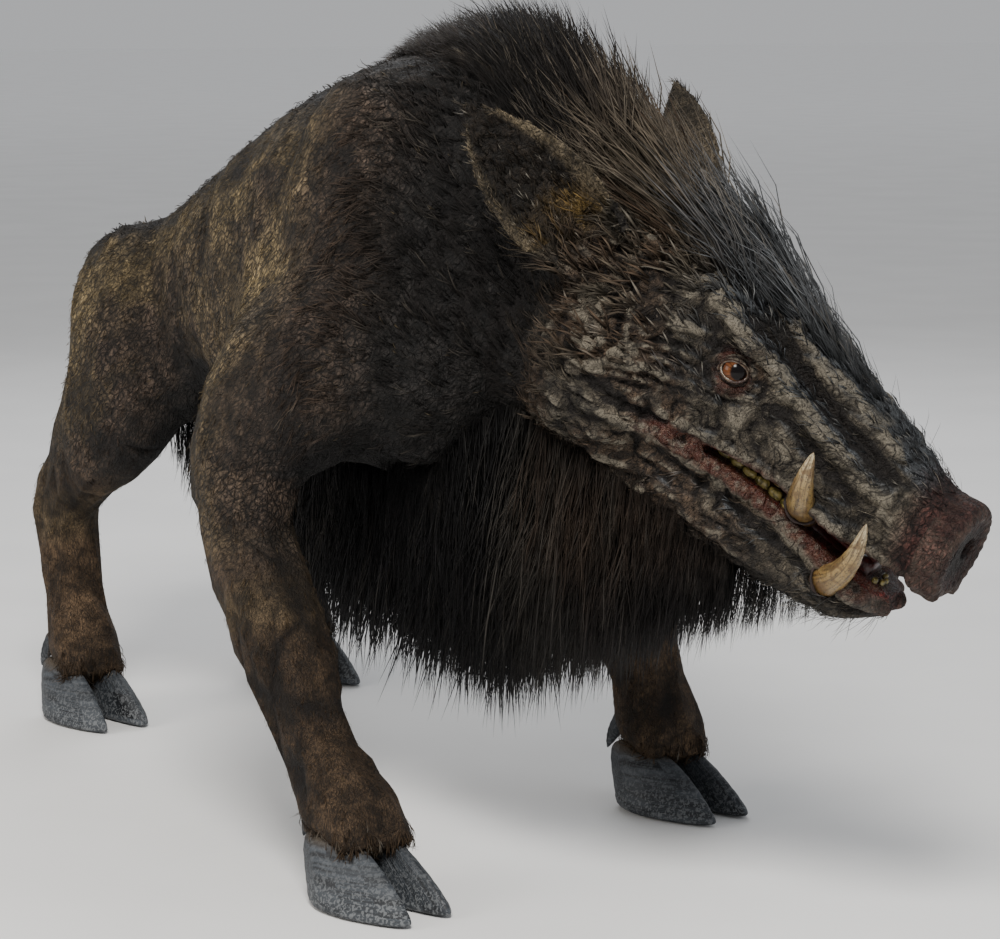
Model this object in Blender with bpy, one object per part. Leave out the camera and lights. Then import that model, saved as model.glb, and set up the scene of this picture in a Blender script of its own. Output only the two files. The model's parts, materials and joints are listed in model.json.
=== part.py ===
"""A full-grown male wild boar, life size, standing with its head low and turned to its left.

Units are metres and +Z is up. The boar faces -Y, so its left side is at +X. The origin is the
bottom centre of the whole model's box, on the ground. The flesh is modelled whole, as tubes and
muscles melted into one body, and then parted into named pieces by thin cuts. Hooves, tusks and
eyes sit in sockets, and the mane and fringes are the outer hulls of the long hair.
"""

import math
from collections import namedtuple

import bmesh
import bpy
import numpy as np
from mathutils import Matrix, Vector

GAP = 0.0004  # clear space that every cut leaves between two pieces
RING_POINTS = 28  # points round a tube of flesh
SPAN_STEPS = 5  # rings made between two stations

# The head's own frame: x forward to the snout, y to the left, z up, from the back of the skull.
HEAD_AT = Vector((0.018, -0.640, 0.730))
HEAD_YAW = math.radians(31)
HEAD_PITCH = math.radians(25)
EYE_AT = Vector((0.192, 0.0700, -0.058))
EYE_RADIUS = 0.0150
EAR_AT = Vector((-0.004, 0.089, -0.006))
EAR_AIM = {-1: Vector((-0.86, 0.40, 0.42)), 1: Vector((-0.56, 0.52, 0.64))}  # right, left
EAR_LENGTH = 0.204
EAR_HALF_WIDTH = 0.052
MOUTH_CORNER = Vector((0.150, -0.142))
MOUTH_FRONT = Vector((0.480, -0.184))
MOUTH_OPENING = 0.030
DISC_AT = 0.432  # where the snout's disc meets the muzzle
ZONE_INSIDE = 0.090  # from the middle plane to the inner cut of each leg
SIDES = {"right": -1, "left": 1}

Station = namedtuple("Station", "x y z wide up down")
Joint = namedtuple("Joint", "x y z wide deep")

TRUNK = (
    Station(0, 0.570, 0.585, 0.045, 0.038, 0.050),
    Station(0, 0.530, 0.576, 0.122, 0.070, 0.113),
    Station(0, 0.400, 0.578, 0.165, 0.108, 0.153),
    Station(0, 0.200, 0.606, 0.178, 0.150, 0.166),
    Station(0, 0.000, 0.638, 0.200, 0.200, 0.215),
    Station(0, -0.190, 0.652, 0.212, 0.244, 0.245),
    Station(0, -0.320, 0.652, 0.206, 0.268, 0.245),
    Station(0, -0.440, 0.635, 0.172, 0.235, 0.205),
    Station(0, -0.520, 0.620, 0.100, 0.135, 0.120),
)
NECK = (
    Station(0.000, -0.250, 0.700, 0.165, 0.210, 0.200),
    Station(0.000, -0.400, 0.705, 0.158, 0.205, 0.220),
    Station(0.002, -0.520, 0.690, 0.132, 0.160, 0.210),
    Station(0.016, -0.600, 0.665, 0.108, 0.112, 0.175),
    Station(0.040, -0.660, 0.645, 0.080, 0.075, 0.120),
)
SKULL = (
    Station(-0.045, 0, -0.090, 0.076, 0.082, 0.095),
    Station(0.000, 0, -0.092, 0.100, 0.112, 0.130),
    Station(0.050, 0, -0.094, 0.106, 0.118, 0.138),
    Station(0.110, 0, -0.098, 0.099, 0.116, 0.128),
    Station(0.170, 0, -0.103, 0.083, 0.119, 0.104),
    Station(0.230, 0, -0.108, 0.068, 0.109, 0.086),
    Station(0.300, 0, -0.114, 0.059, 0.092, 0.074),
    Station(0.360, 0, -0.120, 0.054, 0.075, 0.066),
    Station(0.405, 0, -0.124, 0.048, 0.058, 0.054),
    Station(0.435, 0, -0.126, 0.046, 0.052, 0.046),
    Station(0.460, 0, -0.127, 0.046, 0.052, 0.044),
)
JAW = (
    Station(0.005, 0, -0.172, 0.082, 0.075, 0.062),
    Station(0.090, 0, -0.186, 0.078, 0.075, 0.064),
    Station(0.170, 0, -0.202, 0.065, 0.068, 0.053),
    Station(0.250, 0, -0.213, 0.054, 0.064, 0.045),
    Station(0.320, 0, -0.218, 0.048, 0.058, 0.039),
    Station(0.375, 0, -0.218, 0.044, 0.050, 0.032),
    Station(0.408, 0, -0.213, 0.032, 0.038, 0.021),
    Station(0.424, 0, -0.209, 0.014, 0.020, 0.009),
)
SNOUT = (
    Station(DISC_AT + GAP, 0, -0.126, 0.0440, 0.0480, 0.0440),
    Station(0.443, 0, -0.126, 0.0475, 0.0520, 0.0465),
    Station(0.455, 0, -0.127, 0.0485, 0.0530, 0.0475),
    Station(0.461, 0, -0.127, 0.0450, 0.0490, 0.0440),
)
TAIL = (
    Joint(0, 0.535, 0.640, 0.034, 0.034),
    Joint(0.004, 0.598, 0.626, 0.023, 0.024),
    Joint(0.010, 0.626, 0.574, 0.016, 0.017),
    Joint(0.016, 0.632, 0.500, 0.013, 0.013),
    Joint(0.018, 0.633, 0.455, 0.011, 0.011),
)
LEGS = {
    "front_right": (
        Joint(-0.142, -0.325, 0.690, 0.062, 0.108),
        Joint(-0.190, -0.314, 0.570, 0.082, 0.120),
        Joint(-0.242, -0.244, 0.475, 0.074, 0.098),
        Joint(-0.256, -0.258, 0.390, 0.060, 0.074),
        Joint(-0.252, -0.312, 0.300, 0.055, 0.063),
        Joint(-0.246, -0.350, 0.245, 0.054, 0.060),
        Joint(-0.240, -0.380, 0.190, 0.046, 0.050),
        Joint(-0.234, -0.404, 0.147, 0.045, 0.049),
        Joint(-0.226, -0.440, 0.112, 0.051, 0.052),
        Joint(-0.216, -0.480, 0.078, 0.050, 0.045),
    ),
    "front_left": (
        Joint(0.140, -0.310, 0.690, 0.062, 0.106),
        Joint(0.178, -0.318, 0.570, 0.079, 0.115),
        Joint(0.214, -0.268, 0.475, 0.073, 0.094),
        Joint(0.234, -0.252, 0.390, 0.058, 0.072),
        Joint(0.244, -0.256, 0.300, 0.054, 0.061),
        Joint(0.250, -0.262, 0.245, 0.053, 0.058),
        Joint(0.256, -0.266, 0.190, 0.046, 0.050),
        Joint(0.261, -0.274, 0.147, 0.045, 0.048),
        Joint(0.265, -0.286, 0.112, 0.051, 0.051),
        Joint(0.270, -0.308, 0.078, 0.050, 0.044),
    ),
    "hind_right": (
        Joint(-0.100, 0.395, 0.640, 0.075, 0.120),
        Joint(-0.136, 0.365, 0.560, 0.086, 0.155),
        Joint(-0.163, 0.346, 0.465, 0.078, 0.128),
        Joint(-0.180, 0.418, 0.385, 0.060, 0.088),
        Joint(-0.187, 0.486, 0.320, 0.047, 0.063),
        Joint(-0.189, 0.520, 0.268, 0.047, 0.058),
        Joint(-0.188, 0.506, 0.205, 0.042, 0.047),
        Joint(-0.187, 0.486, 0.147, 0.042, 0.046),
        Joint(-0.186, 0.470, 0.110, 0.047, 0.049),
        Joint(-0.186, 0.447, 0.074, 0.047, 0.043),
    ),
    "hind_left": (
        Joint(0.100, 0.415, 0.640, 0.075, 0.120),
        Joint(0.136, 0.400, 0.560, 0.086, 0.152),
        Joint(0.156, 0.395, 0.465, 0.077, 0.121),
        Joint(0.164, 0.460, 0.385, 0.058, 0.082),
        Joint(0.166, 0.530, 0.325, 0.047, 0.062),
        Joint(0.166, 0.563, 0.275, 0.047, 0.058),
        Joint(0.166, 0.560, 0.205, 0.042, 0.047),
        Joint(0.166, 0.552, 0.147, 0.042, 0.046),
        Joint(0.166, 0.544, 0.110, 0.047, 0.049),
        Joint(0.166, 0.525, 0.074, 0.047, 0.043),
    ),
}
# Each muscle: centre and half sizes on the right side, then its tilt about X in degrees.
MUSCLES = (
    ((-0.118, -0.290, 0.690), (0.100, 0.145, 0.215), 14),  # shoulder blade
    ((-0.172, -0.215, 0.538), (0.090, 0.112, 0.125), -28),  # back of the upper arm
    ((-0.240, -0.176, 0.468), (0.044, 0.064, 0.080), -32),  # elbow
    ((-0.108, -0.420, 0.570), (0.085, 0.090, 0.130), 10),  # point of the shoulder
    ((-0.100, 0.400, 0.545), (0.108, 0.178, 0.130), 20),  # haunch
    ((-0.112, 0.270, 0.530), (0.080, 0.105, 0.120), -20),  # front of the thigh
)
HEAD_MUSCLES = (
    ((0.060, 0.070, -0.120), (0.085, 0.052, 0.095), 0),  # cheek
    ((0.130, 0.074, -0.098), (0.072, 0.026, 0.030), -12),  # cheekbone
    ((0.172, 0.054, -0.018), (0.055, 0.030, 0.026), 14),  # brow
    ((0.335, 0.045, -0.148), (0.044, 0.024, 0.030), 6),  # root of the upper tusk
    ((0.366, 0.038, -0.212), (0.040, 0.022, 0.026), 0),  # root of the lower tusk
)
# Long hair: hulls of the mane and fringes, as stations down the middle of the body.
MANE = (
    Station(0.158, -0.876, 0.580, 0.006, 0.006, 0.012),
    Station(0.136, -0.838, 0.618, 0.028, 0.030, 0.030),
    Station(0.106, -0.786, 0.668, 0.042, 0.062, 0.044),
    Station(0.074, -0.730, 0.716, 0.056, 0.106, 0.056),
    Station(0.040, -0.662, 0.768, 0.068, 0.142, 0.066),
    Station(0.012, -0.570, 0.820, 0.078, 0.160, 0.076),
    Station(0.000, -0.430, 0.868, 0.080, 0.144, 0.080),
    Station(0.000, -0.290, 0.890, 0.074, 0.096, 0.080),
    Station(0.000, -0.120, 0.852, 0.060, 0.058, 0.070),
    Station(0.000, 0.060, 0.796, 0.046, 0.044, 0.060),
    Station(0.000, 0.240, 0.738, 0.032, 0.032, 0.050),
    Station(0.000, 0.400, 0.688, 0.016, 0.018, 0.036),
)
THROAT_FRINGE = (
    Station(0.150, -0.860, 0.385, 0.014, 0.020, 0.030),
    Station(0.110, -0.790, 0.405, 0.040, 0.050, 0.100),
    Station(0.060, -0.700, 0.425, 0.078, 0.080, 0.160),
    Station(0.020, -0.600, 0.435, 0.112, 0.100, 0.215),
    Station(0.000, -0.480, 0.435, 0.118, 0.090, 0.255),
    Station(0.000, -0.380, 0.430, 0.116, 0.060, 0.280),
    Station(0.000, -0.300, 0.430, 0.114, 0.050, 0.290),
)
BELLY_FRINGE = (
    Station(0.000, -0.294, 0.430, 0.114, 0.050, 0.290),
    Station(0.000, -0.180, 0.430, 0.120, 0.050, 0.300),
    Station(0.000, -0.020, 0.436, 0.122, 0.050, 0.292),
    Station(0.000, 0.130, 0.460, 0.132, 0.050, 0.262),
    Station(0.000, 0.250, 0.468, 0.134, 0.045, 0.250),
    Station(0.000, 0.360, 0.466, 0.116, 0.040, 0.230),
    Station(0.000, 0.440, 0.470, 0.056, 0.030, 0.150),
)
TAIL_TUFT = (
    Joint(0.0175, 0.633, 0.470, 0.014, 0.014),
    Joint(0.0185, 0.635, 0.430, 0.021, 0.022),
    Joint(0.0200, 0.639, 0.380, 0.021, 0.023),
    Joint(0.0210, 0.643, 0.330, 0.012, 0.013),
    Joint(0.0215, 0.646, 0.300, 0.003, 0.003),
)

CLAW_LENGTH = 0.146
CLAW_WIDTH = 0.054
CLAW_HEIGHT = 0.078
CLAW_SPREAD = math.radians(8)
CLAW_TURNS = {"front": math.radians(15), "hind": math.radians(8)}
CLAW_CLEAR = 0.0022  # half of the cleft between the two claws
DEWCLAW_LENGTH = 0.042
TEETH = 3  # cheek teeth in each visible row
TOOTH_SIZE = Vector((0.016, 0.011, 0.010))
BODY_VOXEL = 0.0085
BODY_TRIANGLES = 1800


def principled(name, colour, roughness):
    """A plain material for one kind of surface."""
    material = bpy.data.materials.new(name)
    material.use_nodes = True
    shader = material.node_tree.nodes["Principled BSDF"]
    shader.inputs["Base Color"].default_value = (*colour, 1)
    shader.inputs["Roughness"].default_value = roughness
    shader.inputs["Metallic"].default_value = 0
    return material


def place(name, mesh, material):
    """Puts a finished mesh in the scene as a named object, shaded smooth."""
    obj = bpy.data.objects.new(name, mesh)
    bpy.context.scene.collection.objects.link(obj)
    mesh.materials.clear()
    mesh.materials.append(material)
    mesh.shade_smooth()
    mesh.set_sharp_from_angle(angle=math.radians(50))
    return obj


def helper(name, mesh):
    """Puts a mesh in the scene as a guide or cutter, which isn't a piece of the boar."""
    obj = bpy.data.objects.new(name, mesh)
    bpy.context.scene.collection.objects.link(obj)
    obj.hide_render = True
    obj.display_type = "WIRE"
    return obj


def mesh_of(bm, name):
    """Turns a bmesh into a mesh whose faces point outwards."""
    bmesh.ops.recalc_face_normals(bm, faces=bm.faces)
    mesh = bpy.data.meshes.new(name)
    bm.to_mesh(mesh)
    bm.free()
    return mesh


def evaluated(obj):
    """The object's mesh after its modifiers, as a mesh of its own."""
    graph = bpy.context.evaluated_depsgraph_get()
    return bpy.data.meshes.new_from_object(obj.evaluated_get(graph))


def through(rows, steps=SPAN_STEPS):
    """A smooth curve of rows of numbers through the given rows (Catmull-Rom)."""
    rows = np.array(rows, float)
    padded = np.vstack([2 * rows[0] - rows[1], rows, 2 * rows[-1] - rows[-2]])
    made = []
    for before, start, end, after in zip(padded, padded[1:], padded[2:], padded[3:]):
        for t in np.arange(steps) / steps:
            made.append(
                0.5 * (2 * start + (end - before) * t
                       + (2 * before - 5 * start + 4 * end - after) * t**2
                       + (3 * start - before - 3 * end + after) * t**3)
            )
    made.append(rows[-1])
    return np.array(made)


def add_rings(bm, rings):
    """Adds one closed tube through rings of points, capped at both ends."""
    loops = [[bm.verts.new(point) for point in ring] for ring in rings]
    count = len(loops[0])
    for near, far in zip(loops, loops[1:]):
        for i in range(count):
            j = (i + 1) % count
            bm.faces.new((near[i], near[j], far[j], far[i]))
    bm.faces.new(loops[0])
    bm.faces.new(loops[-1])


def oval(wide, up, down, count=RING_POINTS, squareness=2.3):
    """Points of a section, as (side, height), rounder or squarer by its power."""
    angles = 2 * math.pi * np.arange(count) / count
    cos, sin = np.cos(angles), np.sin(angles)
    side = wide * np.sign(cos) * np.abs(cos) ** (2 / squareness)
    height = np.where(sin > 0, up, down) * np.sign(sin) * np.abs(sin) ** (2 / squareness)
    return np.stack([side, height], axis=1)


def add_tube(bm, stations, matrix=None, upright=True, count=RING_POINTS, squareness=2.3,
             steps=SPAN_STEPS):
    """Adds flesh along stations. Upright sections stand across a level path, as on a trunk;
    the others lie across a path that goes down, as on a leg, with their width along X."""
    rows = through([tuple(s) for s in stations], steps)
    centres = rows[:, :3]
    forwards = np.gradient(centres, axis=0)
    rings = []
    for row, forward in zip(rows, forwards):
        ahead = Vector(forward).normalized()
        if upright:
            side = Vector((0, 0, 1)).cross(ahead).normalized()
            rise = ahead.cross(side)
            section = oval(row[3], row[4], row[5], count, squareness)
        else:
            side = (Vector((1, 0, 0)) - ahead * ahead.x).normalized()
            rise = ahead.cross(side)
            section = oval(row[3], row[4], row[4], count, squareness)
        ring = [Vector(row[:3]) + side * a + rise * b for a, b in section]
        rings.append([matrix @ p for p in ring] if matrix else ring)
    add_rings(bm, rings)


def add_muscle(bm, centre, half_sizes, tilt, matrix=None):
    """Adds an egg of flesh, tilted about X (or about Y in the head's frame)."""
    axis = "Y" if matrix else "X"
    turn = Matrix.Rotation(math.radians(tilt), 4, axis)
    shape = Matrix.Translation(centre) @ turn @ Matrix.Diagonal((*half_sizes, 1))
    full = matrix @ shape if matrix else shape
    bmesh.ops.create_icosphere(bm, subdivisions=3, radius=1, matrix=full)


def mirrored(point):
    """The same place on the other side of the middle plane."""
    return Vector((-point[0], point[1], point[2]))


def head_frame():
    """The matrix from the head's own frame to the boar's."""
    forward = Vector((
        math.sin(HEAD_YAW) * math.cos(HEAD_PITCH),
        -math.cos(HEAD_YAW) * math.cos(HEAD_PITCH),
        -math.sin(HEAD_PITCH),
    ))
    left = Vector((math.cos(HEAD_YAW), math.sin(HEAD_YAW), 0))
    up = forward.cross(left)
    turn = Matrix((forward, left, up)).transposed().to_4x4()
    return Matrix.Translation(HEAD_AT) @ turn


HEAD = head_frame()


def sided(point, sign):
    """A place in the head's frame on one side: 1 is left and -1 is right."""
    return Vector((point[0], sign * point[1], point[2]))


def deep_flesh(mesh):
    """How deep each point lies in the bulk of the body: 1 on the trunk and shoulders, fading
    to 0 down the legs, along the tail and towards the head."""
    points = np.empty(len(mesh.vertices) * 3)
    mesh.vertices.foreach_get("co", points)
    x, y, z = points.reshape(-1, 3).T
    above_legs = np.clip((z - 0.36) / 0.14, 0, 1)
    behind_head = np.clip((y + 0.62) / 0.12, 0, 1)
    before_tail = np.clip((0.58 - y) / 0.05, 0, 1)
    return above_legs * behind_head * before_tail


def melted(obj):
    """Melts overlapping tubes and muscles into one body, smoothest over the bulk of the body."""
    remesh = obj.modifiers.new("melt", "REMESH")
    remesh.mode = "VOXEL"
    remesh.voxel_size = BODY_VOXEL
    relax = obj.modifiers.new("relax", "SMOOTH")
    relax.factor = 0.5
    relax.iterations = 4
    obj.data = evaluated(obj)
    obj.modifiers.clear()
    group = obj.vertex_groups.new(name="deep")
    for index, weight in enumerate(deep_flesh(obj.data)):
        group.add([index], float(weight), "REPLACE")
    blend = obj.modifiers.new("blend", "SMOOTH")
    blend.factor = 0.5
    blend.iterations = 45
    blend.vertex_group = group.name
    obj.data = evaluated(obj)
    obj.modifiers.clear()


def whole_flesh():
    """All of the flesh as one smooth closed body."""
    bm = bmesh.new()
    add_tube(bm, TRUNK)
    add_tube(bm, NECK)
    add_tube(bm, SKULL, HEAD, squareness=2.5)
    add_tube(bm, JAW, HEAD)
    add_tube(bm, TAIL, upright=False, count=14)
    for joints in LEGS.values():
        add_tube(bm, joints, upright=False, count=20, squareness=2.2)
        add_toes(bm, joints[-2:])
    for centre, half_sizes, tilt in MUSCLES:
        add_muscle(bm, centre, half_sizes, tilt)
        add_muscle(bm, mirrored(centre), half_sizes, tilt)
    for centre, half_sizes, tilt in HEAD_MUSCLES:
        for sign in SIDES.values():
            add_muscle(bm, sided(centre, sign), half_sizes, tilt, HEAD)
    obj = helper("flesh_whole", mesh_of(bm, "flesh_whole"))
    melted(obj)
    thin = obj.modifiers.new("thin", "DECIMATE")
    thin.ratio = BODY_TRIANGLES / (2 * len(obj.data.polygons))
    obj.data = evaluated(obj)
    obj.modifiers.clear()
    return obj


def add_toes(bm, ankle):
    """Adds the two toes, from the fetlock down to the claws, and the stubs of the dewclaws."""
    fetlock, coronet = ankle
    for sign in (-1, 1):
        add_tube(bm, (
            Joint(fetlock.x + sign * 0.014, fetlock.y, fetlock.z - 0.005, 0.025, 0.033),
            Joint(coronet.x + sign * 0.0215, coronet.y, coronet.z, 0.025, 0.034),
            Joint(coronet.x + sign * 0.0235, coronet.y - 0.013, coronet.z - 0.022, 0.021, 0.030),
        ), upright=False, count=16)
        heel = Vector((coronet.x + sign * 0.027, coronet.y + 0.039, coronet.z + 0.024))
        add_muscle(bm, heel, (0.015, 0.018, 0.022), -20)


def claw_rings(foot, sign, turn):
    """Rings of one claw: a drop-shaped sole, a sloping wall and a smaller coronet."""
    heel_to_toe = np.array([0.00, 0.08, 0.26, 0.50, 0.76, 1.00])
    bulge = np.array([0.55, 0.86, 1.00, 0.90, 0.55, 0.05])
    levels = ((0.000, 1.00, 0.000), (0.10, 1.02, 0.001), (0.48, 0.87, 0.017), (1.00, 0.58, 0.050))
    outer = np.stack([bulge * CLAW_WIDTH, -heel_to_toe * CLAW_LENGTH], axis=1)
    inner = np.stack([np.zeros(3), -heel_to_toe[1:4][::-1] * CLAW_LENGTH], axis=1)
    outline = np.vstack([outer, inner])
    middle = np.array([CLAW_WIDTH * 0.42, -CLAW_LENGTH * 0.42])
    rings = []
    for height, size, back in levels:
        ring = []
        for point in middle + (outline - middle) * size:
            x, y = point[0], point[1] + back
            turned = Matrix.Rotation(CLAW_SPREAD, 2) @ Vector((x, y))
            spot = Vector((sign * (turned.x + CLAW_CLEAR), turned.y + CLAW_LENGTH * 0.30))
            spot.rotate(Matrix.Rotation(turn, 2))
            ring.append(Vector((foot.x + spot.x, foot.y + spot.y - CLAW_LENGTH * 0.30, height * CLAW_HEIGHT)))
        rings.append(ring)
    return rings


def claw(foot, sign, turn):
    """One main claw, flat under its sole."""
    bm = bmesh.new()
    add_rings(bm, claw_rings(foot, sign, turn))
    return mesh_of(bm, "claw")


def horn_cone(start, end, bow, half_width, count=8, steps=4, flatness=0.8):
    """A curved cone, round at its root and pointed at its tip, for a tusk or a dewclaw."""
    start, end, bow = Vector(start), Vector(end), Vector(bow)
    control = (start + end) / 2 + bow
    rings = []
    for i in range(steps + 1):
        t = i / steps
        centre = start * (1 - t) ** 2 + control * 2 * t * (1 - t) + end * t * t
        ahead = ((control - start) * (1 - t) + (end - control) * t).normalized()
        across = ahead.cross(bow).normalized()
        rise = across.cross(ahead)
        size = half_width * (1 - t) ** 0.62 + half_width * 0.04
        rings.append([
            centre + across * math.cos(a) * size * flatness + rise * math.sin(a) * size
            for a in np.arange(count) * 2 * math.pi / count
        ])
    bm = bmesh.new()
    add_rings(bm, rings)
    return mesh_of(bm, "cone")


def tusk(sign, start, end, bow, half_width):
    """A tusk placed in the head's frame, on one side."""
    cone = horn_cone(start, end, bow, half_width, count=8, steps=5, flatness=0.82)
    cone.transform(HEAD @ Matrix.Diagonal((1, sign, 1, 1)))
    if sign < 0:
        cone.flip_normals()
    return cone


def eyeball(sign):
    """An eyeball in its place on one side of the head."""
    bm = bmesh.new()
    where = HEAD @ Matrix.Translation(sided(EYE_AT, sign))
    bmesh.ops.create_uvsphere(
        bm, u_segments=10, v_segments=7, radius=EYE_RADIUS, matrix=where
    )
    return mesh_of(bm, "eyeball")


def ear(sign):
    """An ear as a cupped leaf, thick at its root, that points back, out and up."""
    steps, count = 7, 6
    along = EAR_AIM[sign].normalized()
    face = Vector((0.42, 0.88, 0.05))
    face = (face - along * face.dot(along)).normalized()
    across = along.cross(face)
    rings = []
    for i in range(steps + 1):
        t = i / steps
        half = EAR_HALF_WIDTH * (math.sin(math.pi * (0.20 + 0.80 * t)) ** 0.75 + 0.04)
        curl = math.radians(78 - 34 * t)
        thick = 0.0062 - 0.0030 * t
        radius = half / math.sin(curl)
        spine = EAR_AT + along * (EAR_LENGTH * t - 0.026) - face * 0.022 * t * (1 - t)
        ring = []
        for layer, order in ((0, 1), (1, -1)):
            for a in np.linspace(-curl, curl, count)[::order]:
                edge = 1 - 0.55 * abs(a / curl) ** 3
                lift = radius * (1 - math.cos(a)) - thick * (layer - 0.5) * 2 * edge
                ring.append(spine + across * math.sin(a) * radius + face * lift)
        rings.append([HEAD @ sided(p, sign) for p in ring])
    bm = bmesh.new()
    add_rings(bm, rings)
    return mesh_of(bm, "ear")


def tongue():
    """The tongue, lying on the floor of the mouth between the tooth rows."""
    bm = bmesh.new()
    stations = []
    for along, wide in ((0.256, 0.014), (0.300, 0.021), (0.345, 0.021), (0.378, 0.012)):
        floor = mouth_edge(along)[1]
        stations.append(Station(along, 0, floor + 0.0055, wide, 0.004, 0.004))
    add_tube(bm, stations, HEAD, count=10, steps=2)
    return mesh_of(bm, "tongue")


def snout_disc():
    """The snout's disc, with a rim that stands out a little all round."""
    bm = bmesh.new()
    add_tube(bm, SNOUT, HEAD, count=16, steps=1)
    return mesh_of(bm, "snout_disc")


def cheek_teeth(jaw):
    """Both rows of cheek teeth of one jaw (1 for the upper and -1 for the lower), rooted in it."""
    bm = bmesh.new()
    for sign in SIDES.values():
        for number in range(TEETH):
            along = MOUTH_CORNER.x + 0.088 + number * (TOOTH_SIZE.x + 0.002)
            gum = mouth_edge(along)[0 if jaw > 0 else 1]
            where = Vector((along, sign * (0.036 - 0.001 * number), gum))
            size = Matrix.Diagonal((*TOOTH_SIZE, 1))
            bmesh.ops.create_cube(bm, size=1, matrix=HEAD @ Matrix.Translation(where) @ size)
    return helper("teeth", mesh_of(bm, "teeth"))


def hair_hull(name, stations, upright=True, count=12):
    """The outer hull of a run of long hair, drawn in to a soft edge along its tips."""
    bm = bmesh.new()
    add_tube(bm, stations, upright=upright, count=count, squareness=1.65, steps=2)
    return mesh_of(bm, name)


def mouth_edge(along):
    """Heights of the palate and of the lower lip at a distance along the head."""
    corner, front = MOUTH_CORNER, MOUTH_FRONT
    t = max((along - corner.x) / (front.x - corner.x), 0)
    middle = corner.y + (front.y - corner.y) * t + 0.006 * math.sin(math.pi * t * 1.6)
    opening = GAP + MOUTH_OPENING * math.sin(math.pi * 0.5 * t) ** 0.8
    return middle + opening * 0.42, middle - opening * 0.58


def mouth_cutter():
    """The open mouth from side to side, with a thin cut on to the throat behind its corner."""
    places = np.linspace(MOUTH_CORNER.x, MOUTH_FRONT.x, 7)
    lower = [(x, mouth_edge(x)[1]) for x in places]
    upper = [(x, mouth_edge(x)[0]) for x in places]
    throat = Vector((0.010, -0.205))
    below = Vector((-0.070, -0.345))
    profile = [(below.x + GAP, below.y), (throat.x + GAP, throat.y), *lower]
    profile += [*upper[::-1], (throat.x, throat.y + GAP), (below.x, below.y + GAP)]
    half_width = 0.20
    rings = [
        [HEAD @ Vector((x, side, z)) for x, z in profile]
        for side in (-half_width, half_width)
    ]
    bm = bmesh.new()
    add_rings(bm, rings)
    return helper("cut_mouth", mesh_of(bm, "cut_mouth"))


def slab(name, centre, normal, radius):
    """A thin disc that parts two pieces."""
    bm = bmesh.new()
    turn = Vector(normal).to_track_quat("Z", "Y").to_matrix().to_4x4()
    bmesh.ops.create_cone(
        bm, cap_ends=True, segments=16, radius1=radius, radius2=radius, depth=GAP,
        matrix=Matrix.Translation(centre) @ turn,
    )
    return helper(name, mesh_of(bm, name))


def boolean(obj, cutter, operation):
    """Applies one exact Boolean to an object's mesh."""
    modifier = obj.modifiers.new("boolean", "BOOLEAN")
    modifier.operation = operation
    modifier.solver = "EXACT"
    modifier.object = cutter
    obj.data = evaluated(obj)
    obj.modifiers.clear()


def grown(name, mesh, by=GAP):
    """A helper copy of a mesh, larger all round by the gap."""
    obj = helper(name, mesh.copy())
    swell = obj.modifiers.new("swell", "DISPLACE")
    swell.strength = by
    swell.mid_level = 0
    obj.data = evaluated(obj)
    obj.modifiers.clear()
    return obj


def islands(mesh):
    """The separate closed shells of a mesh, each as its own mesh, the largest first."""
    bm = bmesh.new()
    bm.from_mesh(mesh)
    bmesh.ops.triangulate(bm, faces=bm.faces)
    bm.verts.ensure_lookup_table()
    seen, shells = set(), []
    for start in bm.verts:
        if start in seen:
            continue
        shell, waiting = {start}, [start]
        while waiting:
            for edge in waiting.pop().link_edges:
                for other in edge.verts:
                    if other not in shell:
                        shell.add(other)
                        waiting.append(other)
        seen |= shell
        shells.append(shell)
    made = []
    for shell in shells:
        part = bmesh.new()
        copies = {v: part.verts.new(v.co) for v in sorted(shell, key=lambda v: v.index)}
        faces = {f for v in shell for f in v.link_faces}
        for face in sorted(faces, key=lambda f: f.index):
            part.faces.new([copies[v] for v in face.verts])
        volume = part.calc_volume(signed=True)
        piece = bpy.data.meshes.new("shell")
        part.to_mesh(piece)
        part.free()
        made.append((volume, piece))
    bm.free()
    return [piece for _, piece in sorted(made, key=lambda pair: -abs(pair[0]))]


def centre_of(mesh):
    """The middle of a mesh's points."""
    points = np.empty(len(mesh.vertices) * 3)
    mesh.vertices.foreach_get("co", points)
    return Vector(points.reshape(-1, 3).mean(axis=0))


def leg_zone(name, joints):
    """The space that holds one leg: an arch over the shoulder or thigh, wide enough below for
    the whole leg, and clear of the middle of the body."""
    sign = math.copysign(1, joints[0].x)
    half = joints[1].deep + (0.062 if name.startswith("front") else 0.018)
    middle, spring, top = (joints[1].y + joints[2].y) / 2, 0.440, 0.640
    profile = [
        (middle - half * math.cos(a), spring + (top - spring) * math.sin(a))
        for a in np.linspace(0, math.pi, 11)
    ]
    ahead = min(joint.y for joint in joints[2:]) - 0.120
    behind = max(joint.y for joint in joints[2:]) + 0.090
    profile += [(behind, 0.350), (behind, -0.020), (ahead, -0.020), (ahead, 0.350)]
    rings = [[Vector((sign * x, y, z)) for y, z in profile] for x in (ZONE_INSIDE, 0.40)]
    bm = bmesh.new()
    add_rings(bm, rings)
    return mesh_of(bm, "zone")


def across_leg(name, joints, height):
    """A thin cut across a leg at a height above the ground."""
    path = through([(j.x, j.y, j.z) for j in joints])
    at = int(np.argmin(np.abs(path[:, 2] - height)))
    return slab(name, Vector(path[at]), Vector(path[at + 1] - path[at - 1]), 0.085)


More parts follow.
